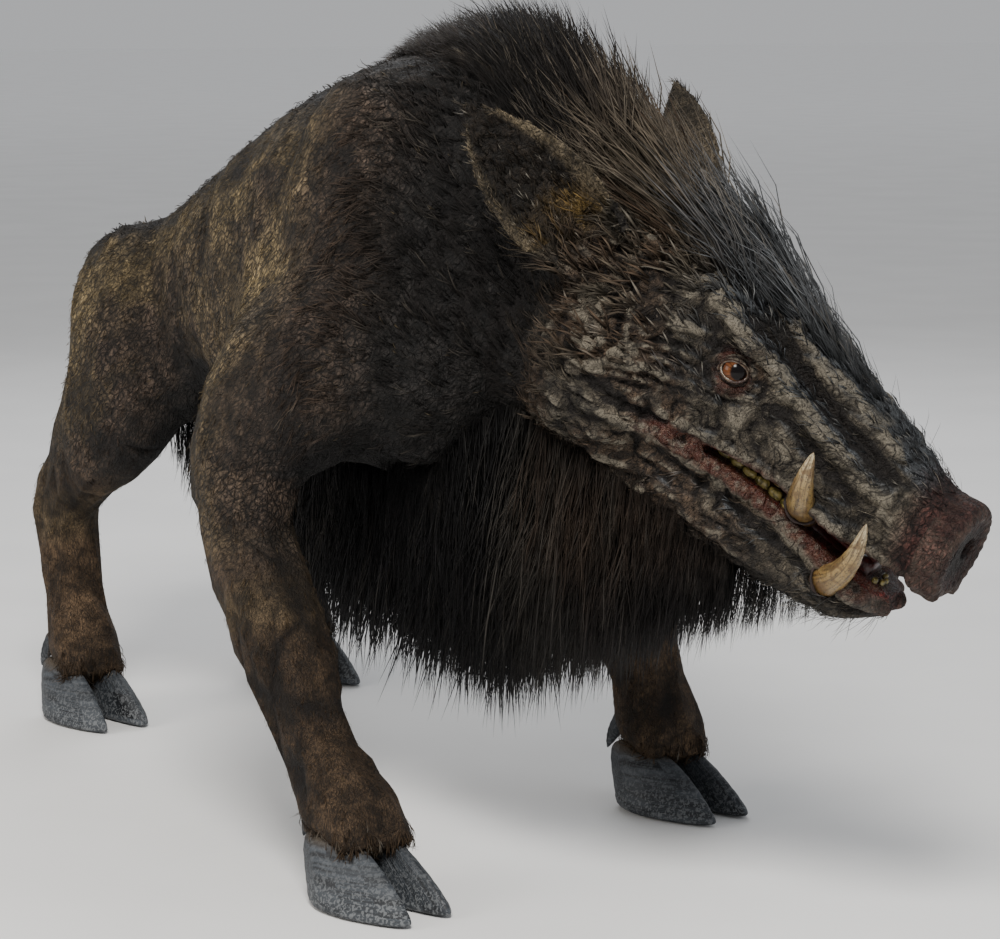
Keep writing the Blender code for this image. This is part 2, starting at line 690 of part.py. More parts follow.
def part_legs(flesh, colours):
    """Takes each leg off the flesh and parts it above the knee or hock and at the fetlock."""
    for name, joints in LEGS.items():
        zone = leg_zone(name, joints)
        leg = helper("leg", flesh.data.copy())
        boolean(leg, helper("zone", zone), "INTERSECT")
        boolean(flesh, grown("zone_cut", zone), "DIFFERENCE")
        for at, height in (("cut_low", 0.130), ("cut_mid", 0.315)):
            boolean(leg, across_leg(at, joints, height), "DIFFERENCE")
        parts = sorted(islands(leg.data), key=lambda mesh: centre_of(mesh).z)
        if len(parts) != 3:
            raise RuntimeError(f"{name} parted into {len(parts)} pieces")
        end, side = name.split("_")
        limb = "fore" if end == "front" else "hind"
        names = (f"{limb}foot_{side}", f"{limb}leg_lower_{side}", f"{limb}leg_upper_{side}")
        for part_name, mesh in zip(names, parts):
            place(part_name, mesh, colours["leg"])


def muzzle_end():
    """A block that cuts the muzzle off flat where the snout's disc begins."""
    bm = bmesh.new()
    where = Matrix.Translation((DISC_AT + 0.05, 0, -0.110)) @ Matrix.Diagonal((0.10, 0.20, 0.13, 1))
    bmesh.ops.create_cube(bm, size=1, matrix=HEAD @ where)
    return helper("muzzle_end", mesh_of(bm, "muzzle_end"))


def part_body(flesh, colours):
    """Parts what is left of the flesh into trunk, neck, head, jaw and tail."""
    boolean(flesh, mouth_cutter(), "DIFFERENCE")
    boolean(flesh, muzzle_end(), "DIFFERENCE")
    cuts = (
        slab("cut_head", HEAD @ Vector((-0.052, 0, -0.08)), (0.22, -0.95, -0.12), 0.30),
        slab("cut_neck", Vector((0, -0.420, 0.66)), (0, -0.94, -0.18), 0.45),
        slab("cut_tail", Vector((0.008, 0.621, 0.598)), (0.08, 0.24, -0.96), 0.036),
    )
    for cut in cuts:
        boolean(flesh, cut, "DIFFERENCE")
    seeds = {
        "trunk": Vector((0, 0.02, 0.64)),
        "neck": Vector((0.005, -0.52, 0.67)),
        "head": HEAD @ Vector((0.18, 0, -0.08)),
        "jaw": HEAD @ Vector((0.20, 0, -0.19)),
        "tail": Vector((0.012, 0.628, 0.54)),
    }
    pieces = islands(flesh.data)
    if len(pieces) != len(seeds):
        raise RuntimeError(f"the body parted into {len(pieces)} pieces")
    for name, seed in seeds.items():
        nearest = min(pieces, key=lambda mesh: (centre_of(mesh) - seed).length)
        pieces.remove(nearest)
        place(name, nearest, colours.get(name, colours["hide"]))


def hard_parts():
    """The meshes of the hooves, dewclaws, tusks and eyes, by name."""
    made = {}
    for leg, joints in LEGS.items():
        coronet = joints[-1]
        foot = Vector((coronet.x, coronet.y + 0.038, 0))
        for side, sign in (("inner", -1), ("outer", 1)):
            toe = sign * math.copysign(1, coronet.x)
            made[f"claw_{leg}_{side}"] = claw(foot, toe, CLAW_TURNS[leg.split("_")[0]])
            root = Vector((coronet.x + toe * 0.026, coronet.y + 0.060, 0.100))
            tip = root + Vector((toe * 0.012, 0.020, -DEWCLAW_LENGTH))
            bow = Vector((toe * 0.002, 0.006, 0.002))
            made[f"dewclaw_{leg}_{side}"] = horn_cone(root, tip, bow, 0.0125)
    for side, sign in SIDES.items():
        made[f"tusk_lower_{side}"] = tusk(
            sign, (0.352, 0.036, -0.216), (0.386, 0.085, -0.120), (0.024, 0.014, -0.012), 0.0175
        )
        made[f"tusk_upper_{side}"] = tusk(
            sign, (0.306, 0.040, -0.156), (0.308, 0.088, -0.084), (0.004, 0.022, -0.014), 0.0180
        )
        made[f"eye_{side}"] = eyeball(sign)
    return made


def nostril(sign):
    """A blind pit in the snout's disc."""
    where = HEAD @ Matrix.Translation((0.461, sign * 0.0185, -0.124))
    bm = bmesh.new()
    shape = where @ Matrix.Diagonal((0.016, 0.0085, 0.0115, 1))
    bmesh.ops.create_uvsphere(bm, u_segments=8, v_segments=6, radius=1, matrix=shape)
    return helper("nostril", mesh_of(bm, "nostril"))


def centre_on_ground():
    """Moves every piece so that the origin is the bottom centre of the whole boar's box."""
    pieces = [o for o in bpy.context.scene.objects if o.type == "MESH" and not o.hide_render]
    low, high = Vector((9, 9, 9)), Vector((-9, -9, -9))
    for piece in pieces:
        for vertex in piece.data.vertices:
            low = Vector(map(min, low, vertex.co))
            high = Vector(map(max, high, vertex.co))
    shift = Vector(((low.x + high.x) / 2, (low.y + high.y) / 2, low.z))
    for piece in pieces:
        piece.data.transform(Matrix.Translation(-shift))


def place_over(name, mesh, outside, material):
    """Places a mesh after taking away what lies in the flesh, keeping its largest piece."""
    hull = helper(f"{name}_whole", mesh)
    boolean(hull, outside, "DIFFERENCE")
    return place(name, islands(hull.data)[0], material)


def long_hair(outside, ears, hair):
    """Places the mane, parted over the shoulders, the two fringes and the tail's tuft."""
    place_over("throat_fringe", hair_hull("throat_fringe", THROAT_FRINGE), outside, hair)
    place_over("belly_fringe", hair_hull("belly_fringe", BELLY_FRINGE), outside, hair)
    tuft = hair_hull("tail_tuft", TAIL_TUFT, upright=False, count=8)
    place_over("tail_tuft", tuft, outside, hair)
    mane = helper("mane", hair_hull("mane", MANE))
    boolean(mane, outside, "DIFFERENCE")
    for ear_piece in ears:
        boolean(mane, grown("ear_cut", ear_piece.data), "DIFFERENCE")
    boolean(mane, slab("cut_mane", (0, -0.36, 0.95), (0, 1, 0.1), 0.25), "DIFFERENCE")
    parts = sorted(islands(mane.data)[:2], key=lambda part: centre_of(part).y)
    for name, part in zip(("mane_neck", "mane_back"), parts):
        place(name, part, hair)


def main():
    """Builds the boar."""
    for obj in list(bpy.data.objects):
        bpy.data.objects.remove(obj)
    colours = {
        "hide": principled("hide", (0.060, 0.046, 0.034), 0.75),
        "head": principled("face", (0.150, 0.125, 0.095), 0.65),
        "leg": principled("leg_hide", (0.110, 0.070, 0.045), 0.70),
        "snout": principled("nose_skin", (0.100, 0.065, 0.055), 0.45),
        "hair": principled("long_hair", (0.035, 0.032, 0.030), 0.60),
        "claw": principled("hoof_horn", (0.130, 0.135, 0.140), 0.50),
        "tusk": principled("ivory", (0.560, 0.430, 0.230), 0.40),
        "eye": principled("eye", (0.200, 0.070, 0.020), 0.08),
        "tongue": principled("tongue_flesh", (0.300, 0.090, 0.070), 0.40),
    }
    colours["jaw"] = colours["head"]
    colours["dewclaw"] = colours["claw"]
    flesh = whole_flesh()
    for name, mesh in hard_parts().items():
        boolean(flesh, grown("socket", mesh), "DIFFERENCE")
        place(name, mesh, colours[name.split("_")[0]])
    flesh.data = islands(flesh.data)[0]
    outside = grown("flesh_grown", flesh.data, 2 * GAP)
    ears = [
        place_over(f"ear_{side}", ear(sign), outside, colours["head"])
        for side, sign in SIDES.items()
    ]
    long_hair(outside, ears, colours["hair"])
    part_legs(flesh, colours)
    part_body(flesh, colours)
    place("snout", snout_disc(), colours["snout"])
    for name, side in (("head", 1), ("jaw", -1)):
        boolean(bpy.data.objects[name], cheek_teeth(side), "UNION")
    for sign in SIDES.values():
        boolean(bpy.data.objects["snout"], nostril(sign), "DIFFERENCE")
    place("tongue", tongue(), colours["tongue"])
    for obj in [o for o in bpy.data.objects if o.hide_render]:
        bpy.data.objects.remove(obj)
    centre_on_ground()


main()
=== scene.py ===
"""The looks of a full-grown male wild boar, life size, standing with its head low.

One wrinkled skin covers all of the flesh. Over it lie a short coat in tufts, a mane of long
bristles and the curtains of hair under the throat and belly. Eyes, tusks, teeth, tongue and
hooves are pieces of their own. The boar stands in a plain, softly lit studio.

Units are metres and +Z is up. The boar faces -Y, so its left side is at +X.
"""

import itertools
import json
import logging
from collections.abc import Iterator
from dataclasses import dataclass, field, replace
from enum import Enum
from math import cos, exp, pi, radians, sin

import bmesh
import bpy
import numpy as np
from mathutils import Matrix, Vector
from mathutils.bvhtree import BVHTree

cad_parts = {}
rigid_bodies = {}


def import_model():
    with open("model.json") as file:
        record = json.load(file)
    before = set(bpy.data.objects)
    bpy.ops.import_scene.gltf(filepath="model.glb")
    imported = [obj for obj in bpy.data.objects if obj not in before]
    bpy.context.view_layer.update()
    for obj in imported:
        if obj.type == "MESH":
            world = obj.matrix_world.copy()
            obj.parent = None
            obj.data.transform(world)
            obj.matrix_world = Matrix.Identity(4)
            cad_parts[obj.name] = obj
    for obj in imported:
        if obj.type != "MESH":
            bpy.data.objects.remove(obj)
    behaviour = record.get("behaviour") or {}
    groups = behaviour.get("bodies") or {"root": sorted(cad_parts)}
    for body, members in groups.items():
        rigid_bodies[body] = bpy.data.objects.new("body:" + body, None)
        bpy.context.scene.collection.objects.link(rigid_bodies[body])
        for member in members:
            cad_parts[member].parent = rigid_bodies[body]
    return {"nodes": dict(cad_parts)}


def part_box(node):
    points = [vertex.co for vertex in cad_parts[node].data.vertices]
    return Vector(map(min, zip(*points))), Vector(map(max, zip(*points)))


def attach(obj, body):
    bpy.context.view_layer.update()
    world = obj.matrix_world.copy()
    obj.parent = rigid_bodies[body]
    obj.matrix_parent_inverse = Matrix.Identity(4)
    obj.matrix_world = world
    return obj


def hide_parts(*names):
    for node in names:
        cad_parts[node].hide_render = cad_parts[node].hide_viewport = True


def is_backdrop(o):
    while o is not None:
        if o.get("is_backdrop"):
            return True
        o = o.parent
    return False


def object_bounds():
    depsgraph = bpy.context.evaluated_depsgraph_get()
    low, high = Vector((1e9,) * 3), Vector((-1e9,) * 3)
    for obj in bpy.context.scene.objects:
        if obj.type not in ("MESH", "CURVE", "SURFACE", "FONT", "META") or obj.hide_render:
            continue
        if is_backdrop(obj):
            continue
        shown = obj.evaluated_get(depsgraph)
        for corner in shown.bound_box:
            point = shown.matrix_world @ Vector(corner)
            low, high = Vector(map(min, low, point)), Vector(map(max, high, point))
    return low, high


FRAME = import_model()
CAD_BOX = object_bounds()
LOG = logging.getLogger("boar")
Array = np.ndarray
Material = bpy.types.Material
Mesh = bpy.types.Mesh
Socket = bpy.types.NodeSocket
Thing = bpy.types.Object
Triple = tuple[float, float, float]
Colour = Triple
LIMBS = ("foreleg_upper", "foreleg_lower", "forefoot", "hindleg_upper", "hindleg_lower", "hindfoot")
FLESH = (
    "trunk", "neck", "head", "jaw", "snout", "tail", "ear_left", "ear_right",
    *(f"{limb}_{side}" for limb in LIMBS for side in ("left", "right")),
)
FEET = ("front_left", "front_right", "hind_left", "hind_right")


class Side(Enum):
    """The two sides of the boar, with the sign of each in the head's frame."""

    LEFT = 1
    RIGHT = -1

    def of(self, part: str) -> str:
        """The name of a part on this side."""
        return f"{part}_{self.name.lower()}"


class Slot(Enum):
    """The record's material slots."""

    HIDE = "hide"
    FACE = "face"
    LEG_HIDE = "leg_hide"
    HAIR = "hair"
    HOOF = "hoof"
    IVORY = "ivory"
    EYE = "eye"
    TONGUE = "tongue"


# ---- Numbers and meshes ----


def ramp(values: Array, low: float, high: float) -> Array:
    """Rises smoothly from 0 at low to 1 at high, or falls where high is below low."""
    t = np.clip((values - low) / (high - low), 0, 1)
    return t * t * (3 - 2 * t)


def unit(vectors: Array) -> Array:
    """Rows of vectors, each made one long."""
    return vectors / np.maximum(np.linalg.norm(vectors, axis=-1, keepdims=True), 1e-12)


def tangent(vectors: Array, normals: Array) -> Array:
    """The share of each vector that runs along the surface, made one long."""
    return unit(vectors - normals * np.sum(vectors * normals, axis=1, keepdims=True))


def curve_through(rows: Array, steps: int) -> Array:
    """A smooth curve through rows of numbers (Catmull-Rom).

    Args:
        rows: The rows that the curve passes through.
        steps: How many points it makes from each row to the next.

    Returns:
        The curve's rows, first and last ones included.
    """
    rows = np.asarray(rows, float)
    padded = np.vstack([2 * rows[0] - rows[1], rows, 2 * rows[-1] - rows[-2]])
    made = []
    for before, start, end, after in zip(padded, padded[1:], padded[2:], padded[3:]):
        for t in np.arange(steps) / steps:
            bend = 2 * before - 5 * start + 4 * end - after
            twist = 3 * start - before - 3 * end + after
            made.append(0.5 * (2 * start + (end - before) * t + bend * t**2 + twist * t**3))
    made.append(rows[-1])
    return np.array(made)


@dataclass(frozen=True)
class Grain:
    """Smooth noise in space, from -1 to 1, from a seeded lattice of values."""

    seed: int
    size: int = 24

    def at(self, points: Array, length: float | Triple) -> Array:
        """The noise at some points.

        Args:
            points: Places in space, one a row.
            length: The size of the noise's lumps, the same all ways or for each axis.

        Returns:
            One value for each point.
        """
        lattice = np.random.default_rng(self.seed).uniform(-1, 1, (self.size,) * 3)
        grid = points / np.asarray(length)
        cell = np.floor(grid).astype(int)
        t = grid - cell
        t = t * t * (3 - 2 * t)
        total = np.zeros(len(points))
        for corner in itertools.product((0, 1), repeat=3):
            weight = np.prod(np.where(corner, t, 1 - t), axis=1)
            total += weight * lattice[tuple(((cell + corner) % self.size).T)]
        return total

    def creases(self, points: Array, length: float | Triple) -> Array:
        """Rounded ridges with narrow creases between them, from -1 in a crease to 1."""
        return 2 * np.sqrt(np.abs(self.at(points, length))) - 1


def rows_of(items: bpy.types.bpy_prop_collection, key: str) -> Array:
    """Three numbers of each item of a mesh, one item a row."""
    flat = np.empty(len(items) * 3, np.float32)
    items.foreach_get(key, flat)
    return flat.reshape(-1, 3).astype(float)


def points_of(mesh: Mesh) -> Array:
    """The mesh's vertices, one a row."""
    return rows_of(mesh.vertices, "co")


def normals_of(mesh: Mesh) -> Array:
    """The mesh's vertex normals, one a row."""
    return rows_of(mesh.vertex_normals, "vector")


def move_points(mesh: Mesh, points: Array) -> None:
    """Puts the mesh's vertices at new places."""
    mesh.vertices.foreach_set("co", points.astype(np.float32).ravel())
    mesh.update()


def store(mesh: Mesh, name: str, values: Array) -> None:
    """Stores numbers, vectors or colours on the mesh's vertices as a named attribute.

    Args:
        mesh: The mesh that gets them.
        name: The attribute's name.
        values: One value for each vertex: a number, three for a vector or four for a colour.
    """
    kinds = {1: ("FLOAT", "value"), 3: ("FLOAT_VECTOR", "vector"), 4: ("FLOAT_COLOR", "color")}
    width = 1 if values.ndim == 1 else values.shape[1]
    kind, key = kinds[width]
    old = mesh.attributes.get(name)
    if old is not None:
        mesh.attributes.remove(old)
    made = mesh.attributes.new(name, kind, "POINT")
    made.data.foreach_set(key, values.astype(np.float32).ravel())


def modified(obj: Thing, kind: str, **settings: object) -> None:
    """Puts a modifier on an object, and turns what it makes into plain mesh.

    Args:
        obj: The object.
        kind: The modifier's type.
        settings: The modifier's properties.
    """
    made = obj.modifiers.new(kind, kind)
    for key, value in settings.items():
        setattr(made, key, value)
    bake_modifiers(obj)


def bake_modifiers(obj: Thing) -> None:
    """Turns the object's modifiers into plain mesh."""
    graph = bpy.context.evaluated_depsgraph_get()
    made = bpy.data.meshes.new_from_object(obj.evaluated_get(graph))
    obj.modifiers.clear()
    obj.data = made


def new_object(name: str, mesh: Mesh) -> Thing:
    """Puts a mesh in the scene as a named object at the origin."""
    obj = bpy.data.objects.new(name, mesh)
    bpy.context.scene.collection.objects.link(obj)
    return obj


def cad_mesh(node: str) -> Mesh:
    """A CAD node's own mesh, which is only read."""
    return FRAME["nodes"][node].data


def centre_of(node: str) -> Array:
    """The middle of a CAD node's box."""
    return np.array(sum(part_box(node), Vector()) / 2)


def aimed(name: str, data: bpy.types.ID, place: Vector, target: Vector) -> Thing:
    """Puts a light or a camera in the scene, turned to its target.

    Args:
        name: Its name.
        data: The light or the camera.
        place: Where it stands.
        target: What it points at.

    Returns:
        Its object.
    """
    obj = new_object(name, data)
    obj.location = place
    obj.rotation_mode = "QUATERNION"
    obj.rotation_quaternion = (target - place).to_track_quat("-Z", "Y")
    return obj


def welded(mesh: Mesh) -> bmesh.types.BMesh:
    """A copy of a mesh with its loose triangles joined.

    Args:
        mesh: The mesh.

    Returns:
        The copy.
    """
    bm = bmesh.new()
    bm.from_mesh(mesh)
    bmesh.ops.remove_doubles(bm, verts=bm.verts, dist=1e-5)
    bm.normal_update()
    return bm


def mesh_of(bm: bmesh.types.BMesh, name: str) -> Mesh:
    """Turns a bmesh into a smooth mesh, and frees it.

    Args:
        bm: The bmesh.
        name: The mesh's name.

    Returns:
        The mesh.
    """
    mesh = bpy.data.meshes.new(name)
    bm.to_mesh(mesh)
    bm.free()
    mesh.shade_smooth()
    return mesh


def turns(count: int) -> Array:
    """The angles of evenly spaced points round a circle."""
    return np.arange(count) * 2 * pi / count


def loft(rings: Array, name: str, closed: bool = False) -> Mesh:
    """A smooth tube through rings of points.

    Args:
        rings: Rings of points, as an array of ring, point and axis.
        name: The mesh's name.
        closed: Joins the last ring to the first one, and otherwise both ends are capped.

    Returns:
        The closed mesh.
    """
    bm = bmesh.new()
    along = bm.verts.layers.float.new("along")
    wrap = bm.loops.layers.uv.new("UVMap")
    loops = [[bm.verts.new(point) for point in ring] for ring in rings]
    count = len(loops[0])
    following = loops[1:] + loops[:1] if closed else loops[1:]
    for step, loop in enumerate(loops):
        for vertex in loop:
            vertex[along] = step / (len(loops) - 1)
    for step, (near, far) in enumerate(zip(loops, following)):
        for i in range(count):
            j = (i + 1) % count
            face = bm.faces.new((near[i], near[j], far[j], far[i]))
            corners = ((i, step), (i + 1, step), (i + 1, step + 1), (i, step + 1))
            for corner, (u, v) in zip(face.loops, corners):
                corner[wrap].uv = (u / count, v / len(loops))
    if not closed:
        for share, loop in enumerate((loops[0], loops[-1])):
            middle = bm.verts.new(sum((v.co for v in loop), Vector()) / count)
            middle[along] = share
            for i in range(count):
                face = bm.faces.new((loop[i], loop[(i + 1) % count], middle))
                for corner in face.loops:
                    corner[wrap].uv = (i / count, share)
    bmesh.ops.recalc_face_normals(bm, faces=bm.faces)
    return mesh_of(bm, name)


def tube(path: Array, radii: Array, name: str, closed: bool = False, sides: int = 10) -> Mesh:
    """A round tube along a path.

    Args:
        path: The points of its middle line.
        radii: Its radius at each point.
        name: The mesh's name.
        closed: Whether the path runs round to its start.
        sides: How many points go round it.

    Returns:
        The closed mesh.
    """
    if closed:
        ahead = unit(np.roll(path, -1, axis=0) - np.roll(path, 1, axis=0))
    else:
        ahead = unit(np.gradient(path, axis=0))
    centre = path.mean(axis=0)
    out = tangent(path - centre + 1e-9, ahead)
    side = np.cross(ahead, out)
    angles = turns(sides)
    rings = path[:, None] + radii[:, None, None] * (
        out[:, None] * np.cos(angles)[None, :, None] + side[:, None] * np.sin(angles)[None, :, None]
    )
    return loft(rings, name, closed)


def joined(meshes: list[Mesh], name: str) -> Mesh:
    """One mesh that holds several."""
    bm = bmesh.new()
    for mesh in meshes:
        bm.from_mesh(mesh)
    return mesh_of(bm, name)


def dressed(obj: Thing, material: Material, slot: Slot, *nodes: str) -> None:
    """Finishes a piece: its material, its place on the body and what it stands for.

    Args:
        obj: The finished piece.
        material: The material that covers it.
        slot: The record's slot; not used.
        nodes: The CAD nodes that it stands for.
    """
    obj.data.materials.clear()
    obj.data.materials.append(material)
    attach(obj, "root")
    if nodes:
        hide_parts(*nodes)
    LOG.info("%s: %d faces", obj.name, len(obj.data.polygons))


# ---- Where things are ----


@dataclass
class HeadFrame:
    """The head's own axes: x forward to the snout, y to the left and z up, from its back.

    They are found from the two eyeballs, whose place in the head is known.
    """

    pitch: float = radians(25)
    eye: Vector = field(default_factory=lambda: Vector((0.192, 0.07, -0.058)))
    mouth_corner: Vector = field(default_factory=lambda: Vector((0.15, -0.142)))
    mouth_front: Vector = field(default_factory=lambda: Vector((0.48, -0.184)))
    mouth_opening: float = 0.03
    disc_at: float = 0.432
    disc_height: float = -0.127

    def __post_init__(self) -> None:
        """Finds the axes and the eyeballs' size."""
        left, right = (Vector(centre_of(which.of("eye"))) for which in Side)
        low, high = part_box("eye_left")
        self.eye_radius = (high.z - low.z) / 2
        across = (left - right).normalized()
        level = Vector((across.y, -across.x, 0)).normalized()
        forward = level * cos(self.pitch) - Vector((0, 0, sin(self.pitch)))
        turn = Matrix((forward, across, forward.cross(across))).transposed()
        start = (left + right) / 2 - turn @ Vector((self.eye.x, 0, self.eye.z))
        self.matrix = Matrix.Translation(start) @ turn.to_4x4()
        self.turn = np.array(turn)
        self.start = np.array(start)

    def to_head(self, points: Array) -> Array:
        """Places in the head's frame."""
        return (points - self.start) @ self.turn

    def to_world(self, points: Array) -> Array:
        """Places in the boar's frame."""
        return np.asarray(points, float) @ self.turn.T + self.start

    def turned(self, vectors: Array) -> Array:
        """Directions of the head's frame in the boar's frame."""
        return np.asarray(vectors, float) @ self.turn.T

    def eye_distance(self, points: Array) -> Array:
        """How far each point is from the nearer eyeball's centre."""
        centres = [centre_of(which.of("eye")) for which in Side]
        return np.min([np.linalg.norm(points - centre, axis=1) for centre in centres], axis=0)

    def mouth_edges(self, along: Array) -> tuple[Array, Array]:
        """Heights of the upper and the lower lip's edge.

        Args:
            along: Distances along the head.

        Returns:
            The heights of the upper edge, then of the lower one.
        """
        corner, front = self.mouth_corner, self.mouth_front
        t = np.clip((along - corner.x) / (front.x - corner.x), 0, 1)
        middle = corner.y + (front.y - corner.y) * t + 0.006 * np.sin(pi * t * 1.6)
        opening = 0.0004 + self.mouth_opening * np.sin(pi * 0.5 * t) ** 0.8
        return middle + opening * 0.42, middle - opening * 0.58


class Hulls:
    """The outer surfaces that the long hair reaches out to."""

    def __init__(self, *nodes: str) -> None:
        """Makes one tree of faces from some CAD nodes."""
        bm = bmesh.new()
        for node in nodes:
            bm.from_mesh(cad_mesh(node))
        self.tree = BVHTree.FromBMesh(bm)
        bm.free()

    def reach(self, points: Array, directions: Array, furthest: float, near: float) -> Array:
        """How far hairs grow until they last leave the hull.

        Args:
            points: Their roots.
            directions: Which way they grow.
            furthest: The longest that they can be.
            near: How far off the hull a root can be.

        Returns:
            The distances, with 0 where a hair misses the hull.
        """
        found = np.zeros(len(points))
        for i, (point, direction) in enumerate(zip(points, directions)):
            start, ahead, gone = Vector(point), Vector(direction), 0.0
            while gone < furthest:
                place, normal, _, distance = self.tree.ray_cast(start, ahead, furthest - gone)
                if place is None or (gone == 0 and normal.dot(ahead) < 0 and distance > near):
                    break
                gone += distance + 1e-4
                if normal.dot(ahead) > 0:
                    found[i] = gone
                start = place + ahead * 1e-4
        return found


# ---- The skin ----


@dataclass(frozen=True)
class Fold:
    """A ridge of skin drawn on both sides of the head, or a groove where its height is below 0."""

    path: tuple[tuple[float, float], ...]
    width: float
    height: float
    fades: bool = True

    def rise(self, head_points: Array) -> Array:
        """How far the fold lifts each point.

        Args:
            head_points: Places in the head's frame.

        Returns:
            The heights, with 0 away from the fold.
        """
        flat = head_points[:, [0, 2]]
        line = curve_through(self.path, 6)
        nearest = np.full(len(flat), 9.0)
        share = np.zeros(len(flat))
        for i, (start, end) in enumerate(zip(line, line[1:])):
            run = end - start
            t = np.clip((flat - start) @ run / (run @ run), 0, 1)
            away = np.linalg.norm(flat - start - t[:, None] * run, axis=1)
            closer = away < nearest
            nearest = np.where(closer, away, nearest)
            share = np.where(closer, (i + t) / (len(line) - 1), share)
        fade = np.sin(pi * np.clip(share, 0.02, 0.98)) ** 0.5 if self.fades else 1.0
        return self.height * fade * np.exp(-((nearest / self.width) ** 2))


def arc(centre: tuple[float, float], radius: float, start: float, end: float,
        flatness: float = 1.0) -> tuple[tuple[float, float], ...]:
    """Seven points of an arc on the side of the head, between two angles in degrees."""
    angles = np.radians(np.linspace(start, end, 7))
    return tuple(
        (centre[0] + radius * cos(a), centre[1] + radius * flatness * sin(a)) for a in angles
    )


def head_folds(head: HeadFrame) -> list[Fold]:
    """The folds of the face, placed from the eye, the mouth and the snout's disc.

    Args:
        head: The head's frame.

    Returns:
        The folds.
    """
    eye = (head.eye.x, head.eye.z)
    corner, disc = head.mouth_corner, head.disc_at
    folds = [
        Fold(((0.085, 0.022), (0.135, 0.008), (0.18, -0.016), (0.216, -0.036), (0.262, -0.058),
              (0.326, -0.086), (disc - 0.048, -0.106)), 0.0088, 0.012),
        Fold(((0.15, 0.018), (0.196, -0.002), (0.234, -0.026), (0.285, -0.048), (0.345, -0.07),
              (disc - 0.04, -0.09)), 0.007, -0.0105),
        Fold(((0.215, 0.002), (0.256, -0.02), (0.32, -0.04), (disc - 0.046, -0.068)), 0.0062, 0.0058),
        Fold(((0.226, -0.06), (0.262, -0.078), (0.32, -0.104), (disc - 0.062, -0.122)), 0.008, -0.005),
        Fold(((0.242, -0.088), (0.285, -0.108), (0.33, -0.126)), 0.008, 0.0035),
        Fold(((corner.x + 0.01, corner.y + 0.004), (0.11, -0.138), (0.068, -0.128)), 0.006, -0.006),
        Fold(((corner.x, corner.y - 0.01), (0.11, -0.153), (0.064, -0.146)), 0.0075, 0.0055),
        Fold(((corner.x, corner.y + 0.014), (0.112, -0.121), (0.078, -0.11)), 0.0065, 0.004),
        Fold(arc((0.122, -0.102), 0.015, 200, -110), 0.0042, 0.0045),
        Fold(arc((0.122, -0.102), 0.0075, 0, 300), 0.0032, -0.0016),
        Fold(((0.03, -0.066), (0.046, -0.078), (0.058, -0.09)), 0.02, 0.006, False),
        Fold(arc((0.044, -0.078), 0.033, 110, -130), 0.0046, -0.0058),
        Fold(arc((0.044, -0.078), 0.042, 100, -120), 0.005, 0.0042),
        Fold(((0.1, -0.086), (0.108, -0.096)), 0.01, 0.0044, False),
    ]
    for ring, (radius, height) in enumerate(
        ((0.0215, 0.0042), (0.027, -0.0034), (0.033, 0.0034), (0.039, -0.003), (0.045, 0.0026))
    ):
        folds.append(Fold(arc(eye, radius, -170 + 6 * ring, -12 - 4 * ring, 0.8), 0.0036, height))
    for radius, height in ((0.021, 0.0066), (0.0275, -0.0044)):
        folds.append(Fold(arc(eye, radius, 12, 172, 0.72), 0.0038, height))
    for row in range(6):
        drop = 0.0135 * row
        start = (0.156 - 0.004 * row, -0.036 - drop)
        middle = (0.126 - 0.005 * row, -0.043 - drop + 0.003 * (row % 2))
        end = (0.088 - 0.006 * row, -0.06 - drop * 0.9)
        folds.append(Fold((start, middle, end), 0.004, 0.0044 if row % 2 == 0 else 0.0036))
        folds.append(Fold(tuple((x, z - 0.0066) for x, z in (start, middle, end)), 0.0034, -0.0038))
    for step in range(4):
        x = disc - 0.012 - 0.012 * step
        folds.append(Fold(((x + 0.004, -0.076), (x, -0.11), (x + 0.002, -0.152)), 0.0042, 0.0022))
    return folds


